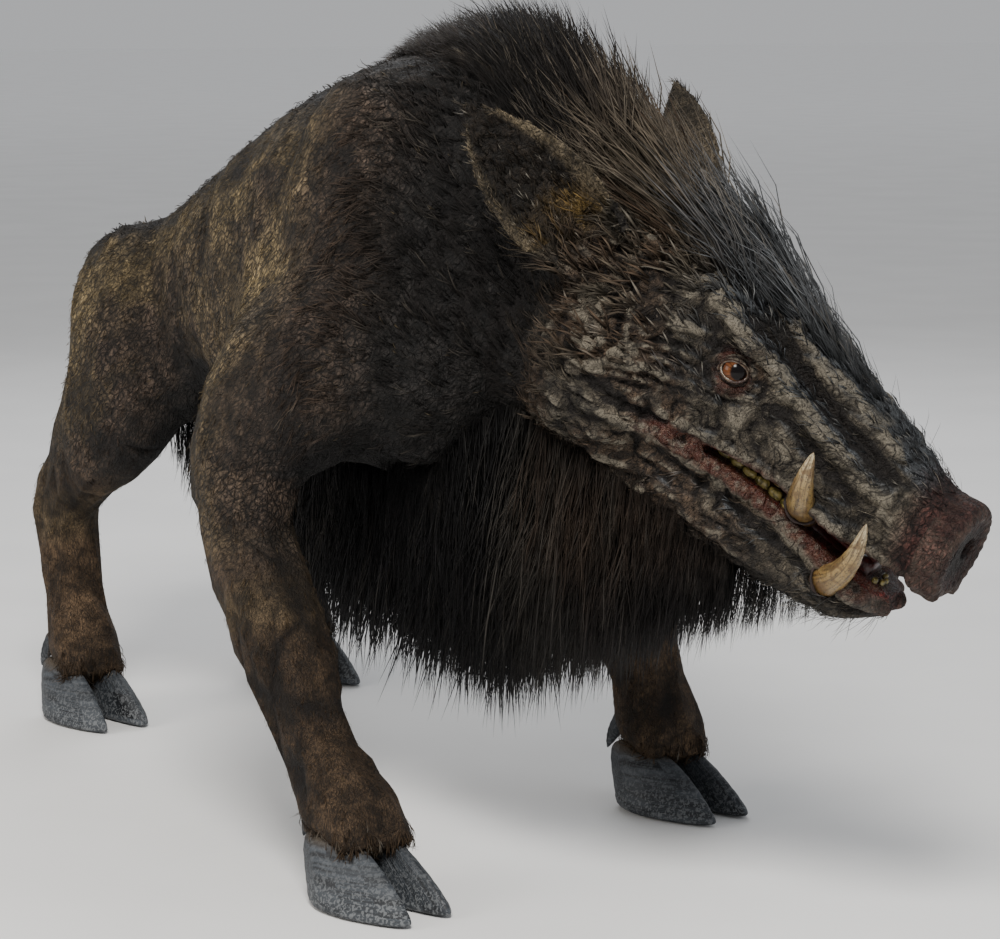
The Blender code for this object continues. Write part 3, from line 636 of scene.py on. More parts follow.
@dataclass
class Zones:
    """How far each point of the skin belongs to each part of the body, from 0 to 1."""

    head: Array
    muzzle: Array
    mouth: Array
    disc: Array
    ear: Array
    inner_ear: Array
    leg: Array
    foot: Array
    tail: Array

    @staticmethod
    def at(points: Array, normals: Array, head: HeadFrame) -> "Zones":
        """Finds the zones of some points of the skin.

        Args:
            points: Places on the skin.
            normals: The skin's normals there.
            head: The head's frame.

        Returns:
            Their zones.
        """
        x, y, z = points.T
        along, side, up = head.to_head(points).T
        in_head = (np.abs(side) < 0.165) & (up > -0.31) & (up < 0.14)
        tail = ramp(y, 0.745, 0.76) * (np.abs(x) < 0.065) * ramp(z, 0.7, 0.67)
        skull = ramp(along, -0.045, 0.02) * in_head
        upper, lower = head.mouth_edges(along)
        between = ramp(up, lower - 0.005, lower) * ramp(up, upper + 0.005, upper)
        inward = ramp(np.abs(normals @ head.turn[:, 1]), 0.75, 0.45)
        mouth = between * inward * (along > head.mouth_corner.x) * (along < head.disc_at - 0.004) * in_head
        leg = ramp(z, 0.4, 0.27) * (1 - skull) * (np.abs(x) > 0.09)
        ear, inner = np.zeros(len(points)), np.zeros(len(points))
        for which in Side:
            node = which.of("ear")
            low, high = np.array(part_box(node))
            near = np.all((points > low - 0.004) & (points < high + 0.004), axis=1)
            root, tip = ear_line(node, head)
            share = (points - root) @ unit(tip - root) / np.linalg.norm(tip - root)
            ear = np.maximum(ear, near * ramp(share, 0.1, 0.26))
            facing = head.turned([0.42, which.value * 0.88, 0.05])
            inner = np.maximum(inner, near * ramp(share, 0.06, 0.22) * (normals @ facing > 0.1))
        return Zones(
            head=skull,
            muzzle=ramp(along, 0.215, 0.33) * in_head,
            mouth=mouth,
            disc=ramp(along, head.disc_at - 0.006, head.disc_at + 0.002) * in_head,
            ear=ear,
            inner_ear=inner,
            leg=leg,
            foot=leg * ramp(z, 0.135, 0.085),
            tail=tail,
        )


def ear_line(node: str, head: HeadFrame) -> tuple[Array, Array]:
    """The middle of an ear's root and its tip.

    Args:
        node: The ear's CAD node.
        head: The head's frame.

    Returns:
        The two places.
    """
    points = points_of(cad_mesh(node))
    away = np.linalg.norm(points - head.to_world([0.05, 0, -0.09]), axis=1)
    return points[away < away.min() + 0.03].mean(axis=0), points[np.argmax(away)]


@dataclass
class Skin:
    """One skin over all the flesh, with the folds of the face and the colours of the hide."""

    head: HeadFrame
    voxel: float = 0.0033
    triangles: int = 144_000
    longest_edge: float = 0.015
    body_depth: float = 0.009
    leg_depth: float = 0.004
    face_depth: float = 0.002
    thin_depth: float = 0.0004
    seam_overlap: float = 0.0005
    deepest: float = 0.004
    splits: int = 4
    seam_angle: float = radians(72)
    island_gap: float = 0.002

    def flesh(self) -> Thing:
        """Copies of the flesh's nodes, each grown a little so that they overlap, in one object.

        Returns:
            The object.
        """
        whole = bmesh.new()
        for node in FLESH:
            bm = welded(cad_mesh(node))
            if node in ("head", "jaw"):
                bm = self.without_teeth(bm)
            for vertex in bm.verts:
                vertex.co += vertex.normal * self.seam_overlap
            whole.from_mesh(mesh_of(bm, "copy"))
        return new_object("skin", mesh_of(whole, "skin"))

    def without_teeth(self, bm: bmesh.types.BMesh) -> bmesh.types.BMesh:
        """Clears the tooth blocks out of the mouth's opening.

        Args:
            bm: The head or the jaw, which is freed.

        Returns:
            The same shape without its teeth.
        """
        along = np.linspace(self.head.mouth_corner.x + 0.02, self.head.mouth_front.x, 8)
        upper, lower = self.head.mouth_edges(along)
        profile = [*zip(along, lower + 2e-4), *zip(along[::-1], upper[::-1] - 2e-4)]
        rings = np.array([[(x, side, z) for x, z in profile] for side in (-0.06, 0.06)])
        wedge = new_object("wedge", loft(self.head.to_world(rings), "wedge"))
        part = new_object("part", mesh_of(bm, "part"))
        modified(part, "BOOLEAN", operation="DIFFERENCE", object=wedge)
        cleared = welded(part.data)
        for helper in (wedge, part):
            bpy.data.objects.remove(helper)
        return cleared

    def weighted(self, obj: Thing, weights: Array) -> str:
        """Gives the skin a vertex group, in steps of an eighth.

        Args:
            obj: The skin.
            weights: One for each point, from 0 to 1.

        Returns:
            The group's name.
        """
        group = obj.vertex_groups.new(name="share")
        for level in np.arange(9) / 8:
            index = np.nonzero(np.abs(weights - level) <= 1 / 16)[0]
            group.add(index.tolist(), float(level), "REPLACE")
        return group.name

    def relax(self, obj: Thing, weights: Array, rounds: int) -> None:
        """Smooths the skin some times over, by each point's weight."""
        modified(obj, "SMOOTH", factor=0.5, iterations=rounds, vertex_group=self.weighted(obj, weights))
        obj.vertex_groups.clear()

    def sculpt(self, mesh: Mesh) -> None:
        """Draws the skin in by the coat's depth, raises its folds and stores its relief.

        Args:
            mesh: The smoothed skin.
        """
        points, normals = points_of(mesh), normals_of(mesh)
        zones = Zones.at(points, normals, self.head)
        thin = np.maximum.reduce([zones.ear, zones.disc, zones.mouth, zones.foot])
        depth = self.body_depth + (self.face_depth - self.body_depth) * zones.head
        depth += (self.leg_depth - depth) * np.maximum(zones.leg, zones.tail)
        depth += (self.thin_depth - depth) * thin
        eye_distance = self.head.eye_distance(points)
        depth *= ramp(eye_distance, 0.016, 0.03)
        points = points - normals * depth[:, None]
        in_head = self.head.to_head(points)
        facing = ramp(np.abs(normals @ self.head.turn[:, 1]), 0.1, 0.45)
        face = zones.head * (1 - zones.ear) * (1 - zones.mouth) * ramp(eye_distance, 0.013, 0.02)
        relief = sum(fold.rise(in_head) for fold in head_folds(self.head)) * facing * face
        relief += self.lips(in_head, facing * zones.head * (1 - zones.mouth))
        relief += self.disc_rim(in_head) * zones.disc
        coarse = Grain(3).creases(in_head, (0.024, 0.014, 0.013)) * 0.0046
        fine = Grain(4).creases(in_head, (0.0115, 0.0078, 0.007)) * 0.0019
        cheek = face * ramp(in_head[:, 0], self.head.disc_at - 0.006, self.head.disc_at - 0.05)
        cheek *= 1 - 0.5 * zones.muzzle
        wrinkles = (coarse + fine) * cheek
        body = (1 - zones.head) * (1 - zones.ear) * (1 - zones.foot)
        lumps = Grain(5).at(points, (0.085, 0.065, 0.11)) * 0.0048
        lumps += Grain(6).creases(points, (0.046, 0.026, 0.06)) * 0.002
        lumps += Grain(9).creases(points, (0.034, 0.03, 0.085)) * 0.0034 * zones.leg
        neck = ramp(points[:, 1], -0.22, -0.36) * body * ramp(points[:, 2], 0.4, 0.46)
        rolls = np.sin(in_head[:, 0] / 0.0085 + 2.0 * Grain(7).at(points, 0.08)) * 0.0022 * neck
        points += normals * (relief + wrinkles + (lumps * body) + rolls)[:, None]
        move_points(mesh, points)
        # The stored relief sets the hide's painted shade in low places and painted highlight on high ones.
        height = relief + 0.9 * wrinkles + rolls + 0.5 * lumps * body
        store(mesh, "relief", np.clip(height / self.deepest, -1, 1))

    def lips(self, in_head: Array, weight: Array) -> Array:
        """Thick rolled lips along both edges of the mouth, wrinkled across.

        Args:
            in_head: Places in the head's frame.
            weight: How far each place counts as the outside of the face.

        Returns:
            How far the lips lift each point.
        """
        along, _, up = in_head.T
        upper, lower = self.head.mouth_edges(along)
        span = ramp(along, self.head.mouth_corner.x - 0.02, self.head.mouth_corner.x + 0.03)
        above = np.exp(-(((up - upper - 0.007) / 0.0065) ** 2)) * 0.0052
        below = np.exp(-(((up - lower + 0.011) / 0.0095) ** 2)) * 0.0084
        groove = -np.exp(-(((up - lower + 0.03) / 0.0055) ** 2)) * 0.0046
        across = 1 + 0.22 * np.sin(along / 0.0022 + 2.5 * Grain(8).at(in_head, 0.02))
        return (above + below + groove) * across * span * weight

    def disc_rim(self, in_head: Array) -> Array:
        """The raised rim of the snout's disc and its hollow face.

        Args:
            in_head: Places in the head's frame.

        Returns:
            How far the disc lifts each point.
        """
        _, side, up = in_head.T
        up = up - self.head.disc_height
        away = np.hypot(side / 0.047, up / 0.05)
        rim = np.exp(-(((away - 0.9) / 0.16) ** 2)) * 0.0045
        hollow = -ramp(away, 0.75, 0.15) * 0.003
        creases = np.sin(np.arctan2(side, up) * 26) * 0.0005 * ramp(away, 0.6, 0.9)
        return rim + hollow + creases

    def thin(self, obj: Thing) -> None:
        """Thins the body's mesh but not the head's, and splits the long edges that this leaves.

        Args:
            obj: The skin.
        """
        mesh = obj.data
        points = points_of(mesh)
        zones = Zones.at(points, normals_of(mesh), self.head)
        keep = np.maximum.reduce([zones.head, zones.ear, 0.75 * zones.foot])
        modified(obj, "DECIMATE", ratio=self.triangles / (2 * len(mesh.polygons)),
                 vertex_group=self.weighted(obj, 1 - keep), vertex_group_factor=1.0)
        obj.vertex_groups.clear()
        bm = bmesh.new()
        bm.from_mesh(obj.data)
        for _ in range(self.splits):
            long = [edge for edge in bm.edges if edge.calc_length() > self.longest_edge]
            bmesh.ops.subdivide_edges(bm, edges=long, cuts=1)
            bmesh.ops.triangulate(bm, faces=[face for face in bm.faces if len(face.verts) > 3])
        bm.to_mesh(obj.data)
        bm.free()
        LOG.info("skin: %d triangles", len(obj.data.polygons))

    def unwrap(self, obj: Thing) -> None:
        """Gives the skin a map of its own shape.

        Args:
            obj: The skin.
        """
        obj.data.uv_layers.new(name="UVMap")
        bpy.context.view_layer.objects.active = obj
        obj.select_set(True)
        bpy.ops.object.mode_set(mode="EDIT")
        bpy.ops.mesh.select_all(action="SELECT")
        bpy.ops.uv.smart_project(angle_limit=self.seam_angle, island_margin=self.island_gap)
        bpy.ops.object.mode_set(mode="OBJECT")
        obj.select_set(False)

    def build(self) -> Thing:
        """Makes the skin, not yet coloured.

        Returns:
            The skin's object.
        """
        obj = self.flesh()
        modified(obj, "REMESH", mode="VOXEL", voxel_size=self.voxel)
        points, normals = points_of(obj.data), normals_of(obj.data)
        zones = Zones.at(points, normals, self.head)
        crisp = np.maximum.reduce([zones.ear, zones.disc, zones.mouth])
        crisp = np.maximum(crisp, ramp(self.head.eye_distance(points), 0.03, 0.018))
        limb = np.maximum(0.85 * zones.leg, zones.foot)
        bulk = (1 - zones.head) * (1 - crisp) * (1 - limb) * (1 - zones.tail)
        for weights, rounds in (
            (bulk, 110),
            ((1 - crisp) * (1 - 0.6 * zones.foot), 16),
            (np.ones(len(points)), 3),
            (np.maximum(zones.ear, zones.disc), 5),
        ):
            self.relax(obj, weights, rounds)
        self.sculpt(obj.data)
        LOG.info("skin: %d faces before thinning", len(obj.data.polygons))
        self.thin(obj)
        self.unwrap(obj)
        obj.data.shade_smooth()
        return obj


class Markings:
    """The colours of the hide, painted highlights and shade among them, which the coat over it takes up."""

    BODY = (0.034, 0.024, 0.0175)
    # Golden coat colour: partly the coat's own gold, partly painted highlight where light falls on the skin.
    CREST = (0.104, 0.077, 0.038)
    BACK = (0.022, 0.019, 0.017)
    # Near black: the colour of the tail and of the head's underside, and painted shade on skin that faces
    # down.
    UNDER = (0.009, 0.008, 0.0078)
    LEG = (0.044, 0.028, 0.016)
    KNEE = (0.07, 0.05, 0.028)
    FACE = (0.05, 0.042, 0.031)
    CHEEK = (0.034, 0.023, 0.015)
    BRIDGE = (0.044, 0.048, 0.052)
    EAR = (0.056, 0.045, 0.03)
    EAR_RIM = (0.098, 0.078, 0.05)
    EAR_INSIDE = (0.012, 0.009, 0.0065)
    EAR_GLOW = (0.105, 0.068, 0.022)
    # The neck's dark coat, made near black as painted shadow between the neck and the shoulder.
    NECK = (0.008, 0.007, 0.0065)
    NOSE = (0.021, 0.0085, 0.007)
    # Painted shade of the nostrils' openings in the middle of the snout's disc.
    NOSTRIL = (0.006, 0.003, 0.003)
    MOUTH = (0.06, 0.01, 0.008)

    def __init__(self, head: HeadFrame) -> None:
        """Keeps the head's frame, which the face is marked out in."""
        self.head = head

    def paint(self, mesh: Mesh) -> None:
        """Stores the colours on the skin, with how wet each part is and how far it belongs to the face and
        the legs.

        Args:
            mesh: The skin.
        """
        points, normals = points_of(mesh), normals_of(mesh)
        zones = Zones.at(points, normals, self.head)
        along, side, up = self.head.to_head(points).T
        y, z = points[:, 1], points[:, 2]
        body, disc = 1 - zones.head, self.head.disc_at
        patchy = Grain(11).at(points, 0.11)
        spotted = Grain(12).at(points, 0.035)
        colour = np.tile(np.array(self.BODY), (len(points), 1))
        upper, lower = self.head.mouth_edges(along)
        half = (upper - lower) / 2 + 0.008 + 0.003 * spotted
        near_lips = np.exp(-(((up - (upper + lower) / 2 + 0.006) / (half + 0.004)) ** 4))
        near_lips *= ramp(along, 0.105, 0.16) * zones.head
        near_lips *= ramp(along, disc - 0.01, disc - 0.04)
        round_eye = ramp(self.head.eye_distance(points) + 0.008 * spotted, 0.034, 0.018)
        crest = ramp(normals[:, 2], 0.35, 0.85)
        root_share = self.ear_rim(points)
        # Painted highlight: lit is skin that faces up and rear is skin that faces out and to the rear; both
        # get the golden colour.
        lit = ramp(normals[:, 2] + 0.22 * patchy, 0.02, 0.42) * ramp(normals[:, 2], 0.92, 0.7)
        facing = 0.86 * np.abs(normals[:, 0]) + 0.51 * normals[:, 1] + 0.2 * patchy
        rear = ramp(facing, 0.66, 0.98) * ramp(spotted, -0.9, 0.2) * (1 - zones.tail)
        layers = (
            # Painted highlight, partly the coat's own gold, on the skin that lit and rear pick out.
            (self.CREST, 0.85 * lit * body * ramp(y, -0.2, -0.05)),
            (self.CREST, 0.5 * rear * body * ramp(y, -0.22, -0.06)
             * ramp(z, 0.3, 0.42)),
            (self.BACK, crest * body),
            # Painted shade: skin that faces down gets the near-black UNDER colour.
            (self.UNDER, ramp(normals[:, 2] + 0.15 * patchy, -0.15, -0.7) * (z > 0.33)),
            # Partly the neck's own dark coat, partly painted shadow down the neck's sides and the shoulder's
            # front.
            (self.NECK, ramp(y + 0.04 * patchy, -0.17, -0.31) * body * (z > 0.3)
             * (1 - zones.leg) * ramp(z, 0.42, 0.5)),
            (self.UNDER, zones.tail),
            (self.LEG, zones.leg),
            (self.KNEE, zones.leg * ramp(np.abs(z - 0.3 + 0.03 * patchy), 0.05, 0.01)),
            (self.FACE, zones.head),
            (self.CHEEK, zones.head * ramp(spotted + patchy, -0.1, 0.5) * (1 - zones.muzzle)),
            (self.UNDER, zones.head * ramp(up, -0.215, -0.262)),
            (self.BRIDGE, zones.head * ramp(normals @ self.head.turn[:, 2], 0.35, 0.8)
             * ramp(along, 0.1, 0.17)),
            (self.EAR, zones.ear),
            (self.EAR_INSIDE, zones.inner_ear * (1 - root_share)),
            (self.EAR_GLOW, zones.inner_ear * self.ear_root(points) * ramp(spotted, -0.8, 0.4)),
            (self.EAR_RIM, zones.ear * root_share * ramp(spotted, -0.7, 0.3)),
            (self.NOSE, zones.head * ramp(along, disc - 0.04, disc - 0.01)),
            # Painted shade: near black in the middle of the snout's disc, where the nostrils open.
            (self.NOSTRIL, zones.head * ramp(along, disc - 0.003, disc - 0.009)
             * (np.hypot(side, up - self.head.disc_height) < 0.038) * (along > disc - 0.05)),
            (self.MOUTH, zones.mouth),
        )
        for shade, share in layers:
            colour += (np.array(shade) - colour) * np.clip(share, 0, 1)[:, None]
        colour *= (1 + 0.3 * patchy + 0.16 * spotted)[:, None]
        wet = np.maximum.reduce([near_lips, 0.8 * round_eye * zones.head, zones.mouth, 0.35 * zones.disc])
        # The marking holds the painted highlights and shade along with the hide's own colours.
        store(mesh, "marking", np.column_stack([np.clip(colour, 0.002, 1), np.ones(len(points))]))
        store(mesh, "wet", np.clip(wet, 0, 1))
        nose = ramp(along, disc - 0.045, disc - 0.014)
        store(mesh, "face", np.maximum(zones.head * (1 - zones.ear) * (1 - 0.8 * nose), 0.6 * zones.ear))
        store(mesh, "leg", zones.leg)

    def ear_root(self, points: Array) -> Array:
        """How close each point of an ear is to the ear's root, from 0 to 1."""
        close = np.zeros(len(points))
        for which in Side:
            root, _ = ear_line(which.of("ear"), self.head)
            close = np.maximum(close, ramp(np.linalg.norm(points - root, axis=1), 0.085, 0.04))
        return close

    def ear_rim(self, points: Array) -> Array:
        """How close each point is to the rim of an ear.

        Args:
            points: Places on the skin.

        Returns:
            From 0 in the ear's middle, or off the ears, to 1 on its rim.
        """
        rim = np.zeros(len(points))
        for which in Side:
            root, tip = ear_line(which.of("ear"), self.head)
            length = np.linalg.norm(tip - root)
            axis = (tip - root) / length
            offset = points - root
            share = offset @ axis / length
            away = np.linalg.norm(offset - np.outer(offset @ axis, axis), axis=1)
            half = 0.05 * np.sin(pi * np.clip(0.2 + 0.8 * share, 0, 1)) ** 0.75 + 0.002
            near = (share > 0) & (share < 1.1) & (away < 0.07)
            rim = np.maximum(rim, near * ramp(away / half, 0.62, 0.92))
        return rim


# ---- Finishes ----


class NodeTree:
    """A tree of nodes that is being built."""

    def __init__(self, tree: bpy.types.NodeTree) -> None:
        """Keeps the tree."""
        self.tree = tree

    def feed(self, socket: Socket, value: object) -> None:
        """Links a socket into another, or sets its value.

        Args:
            socket: The input.
            value: An output to link, or a number, a vector or a colour.
        """
        if isinstance(value, Socket):
            self.tree.links.new(value, socket)
        elif socket.type == "RGBA":
            socket.default_value = (*value[:3], 1)
        else:
            socket.default_value = value

    def node(self, kind: str, inputs: dict[str | int, object], **settings: object) -> bpy.types.Node:
        """Adds a node.

        Args:
            kind: Its type.
            inputs: What goes into its sockets, by name or by number.
            settings: Its properties.

        Returns:
            The node.
        """
        made = self.tree.nodes.new(kind)
        for key, value in settings.items():
            setattr(made, key, value)
        for key, value in inputs.items():
            named = (socket for socket in made.inputs if socket.name == key and socket.enabled)
            self.feed(made.inputs[key] if isinstance(key, int) else next(named), value)
        return made

    def maths(self, operation: str, first: object, second: object = 0.0) -> Socket:
        """One sum on two numbers."""
        return self.node("ShaderNodeMath", {0: first, 1: second}, operation=operation).outputs[0]


class Recipe(NodeTree):
    """One material's nodes, with a short call for each kind that the finishes share."""

    def __init__(self, name: str) -> None:
        """Starts a material with its Principled shader and its Object coordinates.

        Args:
            name: The material's name.
        """
        self.material = bpy.data.materials.new(name)
        self.material.use_nodes = True
        super().__init__(self.material.node_tree)
        self.shader = self.tree.nodes["Principled BSDF"]
        self.place = self.node("ShaderNodeTexCoord", {}).outputs["Object"]

    def surface(self, **values: object) -> None:
        """Feeds the shader's sockets, whose names have underscores for spaces here."""
        for name, value in values.items():
            self.feed(self.shader.inputs[name.replace("_", " ")], value)

    def stretched(self, stretch: Triple, source: Socket | None = None) -> Socket:
        """Coordinates stretched by a share for each axis."""
        inputs = {"Vector": source or self.place, "Scale": stretch}
        return self.node("ShaderNodeMapping", inputs).outputs["Vector"]

    def wrapped(self, stretch: Triple) -> Socket:
        """The piece's own map, stretched."""
        return self.stretched(stretch, self.node("ShaderNodeUVMap", {}, uv_map="UVMap").outputs["UV"])

    def warped(self, source: Socket, scale: float, amount: float) -> Socket:
        """Coordinates pushed about by noise, so that what they map has ragged shapes."""
        cloud = self.node("ShaderNodeTexNoise", {"Vector": source, "Scale": scale}).outputs["Color"]
        return self.node("ShaderNodeVectorMath", {0: cloud, 1: (amount,) * 3, 2: source},
                         operation="MULTIPLY_ADD").outputs["Vector"]

    def noise(self, scale: float, detail: float = 3.0, source: Socket | None = None,
              warp: float = 0.0) -> Socket:
        """Cloudy noise from 0 to 1, so many lumps to the metre."""
        inputs = {"Vector": source or self.place, "Scale": scale, "Detail": detail, "Distortion": warp}
        return self.node("ShaderNodeTexNoise", inputs).outputs["Fac"]

    def cells(self, scale: float, source: Socket | None = None, way: str = "DISTANCE_TO_EDGE") -> Socket:
        """Cracked plates: the distance to a plate's edge, or to its middle."""
        inputs = {"Vector": source or self.place, "Scale": scale}
        return self.node("ShaderNodeTexVoronoi", inputs, feature=way).outputs["Distance"]

    def attribute(self, name: str, output: str = "Fac") -> Socket:
        """A named attribute of the mesh, as a number or as a colour."""
        return self.node("ShaderNodeAttribute", {}, attribute_name=name).outputs[output]

    def ease(self, value: Socket, low: float, high: float, start: float = 0.0, end: float = 1.0) -> Socket:
        """Maps a number smoothly from one range to another."""
        inputs = {"Value": value, "From Min": low, "From Max": high, "To Min": start, "To Max": end}
        return self.node("ShaderNodeMapRange", inputs, interpolation_type="SMOOTHSTEP").outputs["Result"]

    def mix(self, share: object, first: object, second: object, way: str = "MIX") -> Socket:
        """Passes from the first colour to the second by a share."""
        inputs = {0: share, 6: first, 7: second}
        return self.node("ShaderNodeMix", inputs, data_type="RGBA", blend_type=way).outputs[2]

    def blend(self, share: Socket, first: Socket, second: Socket) -> Socket:
        """Passes from one number to another."""
        step = self.maths("MULTIPLY", share, self.maths("SUBTRACT", second, first))
        return self.maths("ADD", first, step)

    def times(self, first: object, second: object) -> Socket:
        """Two numbers multiplied."""
        return self.maths("MULTIPLY", first, second)

    def shaded(self, base: Socket, value: Socket, *ranges: float) -> Socket:
        """A colour multiplied by a number, which is mapped from its own range to another one."""
        grey = self.node("ShaderNodeCombineColor", dict.fromkeys(range(3), self.ease(value, *ranges)))
        return self.mix(1.0, base, grey.outputs["Color"], "MULTIPLY")

    def bump(self, height: Socket, depth: float, strength: float, over: Socket | None = None) -> Socket:
        """A normal that shows heights up to so many metres, laid over another normal."""
        inputs = {"Height": height, "Distance": depth, "Strength": strength}
        return self.node("ShaderNodeBump", inputs | ({"Normal": over} if over else {})).outputs["Normal"]


@dataclass(frozen=True)
class HideFinish:
    """The skin: small leathery plates, wet red edges, painted highlights on ridges and painted shade in
    creases.
    """

    # Painted highlight on the face's ridges.
    pale: Colour = (0.118, 0.104, 0.08)
    # Painted shade in the creases and hollows.
    deep: Colour = (0.006, 0.0045, 0.004)
    raw: Colour = (0.044, 0.012, 0.008)
    raw_pale: Colour = (0.092, 0.045, 0.031)
    plates: float = 165.0
    hairs: float = 380.0

    def material(self) -> Material:
        """Makes the material.

        Returns:
            The hide's material, which reads the skin's own attributes.
        """
        r = Recipe("hide")
        face, wet, relief = r.attribute("face"), r.attribute("wet"), r.attribute("relief")
        leg = r.attribute("leg")
        back, down = self.grain(r, 40.0, (1.0, 0.46, 0.9)), self.grain(r, 0.0, (1.6, 1.45, 0.8))
        plates, small_plates, fur = (r.blend(leg, *pair) for pair in zip(back, down))
        mottle = r.noise(46, 5, warp=0.6)
        blotch = r.noise(9, 4, warp=1.0)
        leathery = r.times(r.ease(blotch, 0.3, 0.6, 0.45, 1.0), r.ease(face, 0.0, 1.0, 1.0, 0.35))
        leathery = r.times(leathery, r.ease(leg, 0.0, 1.0, 1.0, 0.45))
        # The marking carries painted highlights and shade.
        base = r.attribute("marking", "Color")
        # Painted shade in the crevices between the plates, and painted highlight on their middles.
        base = r.mix(leathery, base, r.shaded(base, plates, 0.0, 0.17, 0.22, 1.22))
        base = r.mix(0.6, base, r.shaded(base, small_plates, 0.0, 0.16, 0.55, 1.18))
        furry = r.shaded(base, fur, 0.32, 0.68, 0.45, 1.6)
        base = r.mix(r.ease(face, 0.0, 1.0, 1.0, 0.45), base, furry)
        base = r.shaded(base, mottle, 0.34, 0.66, 0.52, 1.5)
        base = r.shaded(base, blotch, 0.35, 0.65, 0.7, 1.3)
        # Painted highlight: the pale colour on the crests of the face's raised relief.
        ridge = r.times(r.ease(relief, 0.38, 0.85), r.ease(mottle, 0.32, 0.54, 0.2, 1.0))
        base = r.mix(r.times(ridge, r.times(face, 0.85)), base, self.pale)
        # Painted shade in low relief and painted highlight on high relief, weaker on the face.
        shade = r.shaded(base, relief, -0.7, 0.9, 0.6, 1.45)
        base = r.mix(r.ease(face, 0.0, 1.0, 1.0, 0.4), base, shade)
        # Painted shade: the deep colour along the face's crease lines.
        lines = r.times(face, self.creases(r))
        base = r.mix(r.times(lines, 0.8), base, self.deep)
        # Painted shade: the deep colour in low relief.
        base = r.mix(r.times(r.ease(relief, -0.05, -0.55), 0.92), base, self.deep)
        raw = r.mix(r.ease(r.noise(150, 4, warp=0.5), 0.5, 0.66), self.raw, self.raw_pale)
        # Painted shade in the low relief of the raw wet skin.
        raw = r.mix(r.times(r.ease(relief, 0.1, -0.35), 0.75), raw, self.deep)
        patch = r.times(r.ease(wet, 0.15, 0.85), r.ease(r.noise(75, 4), 0.35, 0.55, 0.15, 0.95))
        base = r.mix(patch, base, raw)
        rough = r.maths("SUBTRACT", r.ease(fur, 0.2, 0.8, 0.62, 0.86), r.times(wet, 0.48))
        height = r.times(r.ease(plates, 0.0, 0.22), leathery)
        height = r.maths("ADD", height, r.ease(small_plates, 0.0, 0.22, 0.0, 0.35))
        height = r.maths("SUBTRACT", height, r.times(lines, 1.2))
        leather = r.bump(height, 0.0032, 0.85)
        strands = r.bump(fur, 0.003, 0.75, leather)
        pores = r.bump(r.noise(950, 2, warp=0.3), 0.0007, 0.6, strands)
        lumps = r.bump(mottle, 0.005, 0.55, pores)
        r.surface(Base_Color=base, Roughness=rough, Normal=lumps, Specular_IOR_Level=0.22)
        return r.material

    def grain(self, r: Recipe, turn: float, stretch: Triple) -> tuple[Socket, Socket, Socket]:
        """Plates, smaller plates and strands of fur, drawn out along one direction.

        Args:
            r: The material's recipe.
            turn: How far the direction is turned down from the boar's back end, in degrees.
            stretch: The scale along each axis once turned.

        Returns:
            The three patterns.
        """
        inputs = {"Vector": r.place, "Rotation": (radians(turn), 0, 0)}
        turned = r.node("ShaderNodeMapping", inputs).outputs["Vector"]
        ragged = r.warped(r.stretched(stretch, turned), 70, 0.012)
        thin = tuple(value if value > 0.8 else 0.4 * value for value in stretch)
        strands = r.noise(self.hairs, 4, r.stretched(thin, turned), 0.8)
        return r.cells(self.plates, ragged), r.cells(self.plates * 2.1, ragged), strands

    def creases(self, r: Recipe) -> Socket:
        """Thin winding lines of two sizes, from 0 between them to 1 along them."""
        lines = 0.0
        for scale, width, share in ((30, 0.03, 1.0), (66, 0.026, 0.6)):
            cloud = r.noise(scale, 2, r.stretched((1.0, 0.75, 1.25)), 0.8)
            away = r.maths("ABSOLUTE", r.maths("SUBTRACT", cloud, 0.5))
            lines = r.maths("MAXIMUM", lines, r.ease(away, width, 0.0, 0.0, share))
        return lines


@dataclass(frozen=True)
class HairFinish:
    """Hair that takes up the hide's marking and its painted light, darker at its root and lighter at its tip.
    """

    name: str
    tone: Colour = (1.0, 1.0, 1.0)
    root: float = 0.45
    tip: float = 1.5
    streak: Colour = (0.3, 0.26, 0.2)
    streak_share: float = 0.12
    roughness: float = 0.58

    def material(self) -> Material:
        """Makes the material.

        Returns:
            The hair's material.
        """
        r = Recipe(self.name)
        tint, along = r.attribute("tint"), r.attribute("along")
        # The marking carries painted highlights and shade.
        base = r.mix(1.0, r.attribute("marking", "Color"), self.tone, "MULTIPLY")
        base = r.shaded(base, along, 0.0, 1.0, self.root, self.tip)
        base = r.shaded(base, tint, 0.0, 1.0, 0.58, 1.42)
        streaked = r.ease(tint, 1 - self.streak_share, 1 - 0.5 * self.streak_share)
        streaked = r.times(streaked, r.ease(along, 0.2, 0.85, 0.15, 0.85))
        base = r.mix(streaked, base, self.streak)
        base = r.shaded(base, r.noise(60, 2), 0.3, 0.7, 0.75, 1.25)
        r.surface(Base_Color=base, Normal=r.bump(r.noise(1500, 1), 0.0003, 0.4))
        r.surface(Roughness=self.roughness, Specular_IOR_Level=0.12)
        return r.material


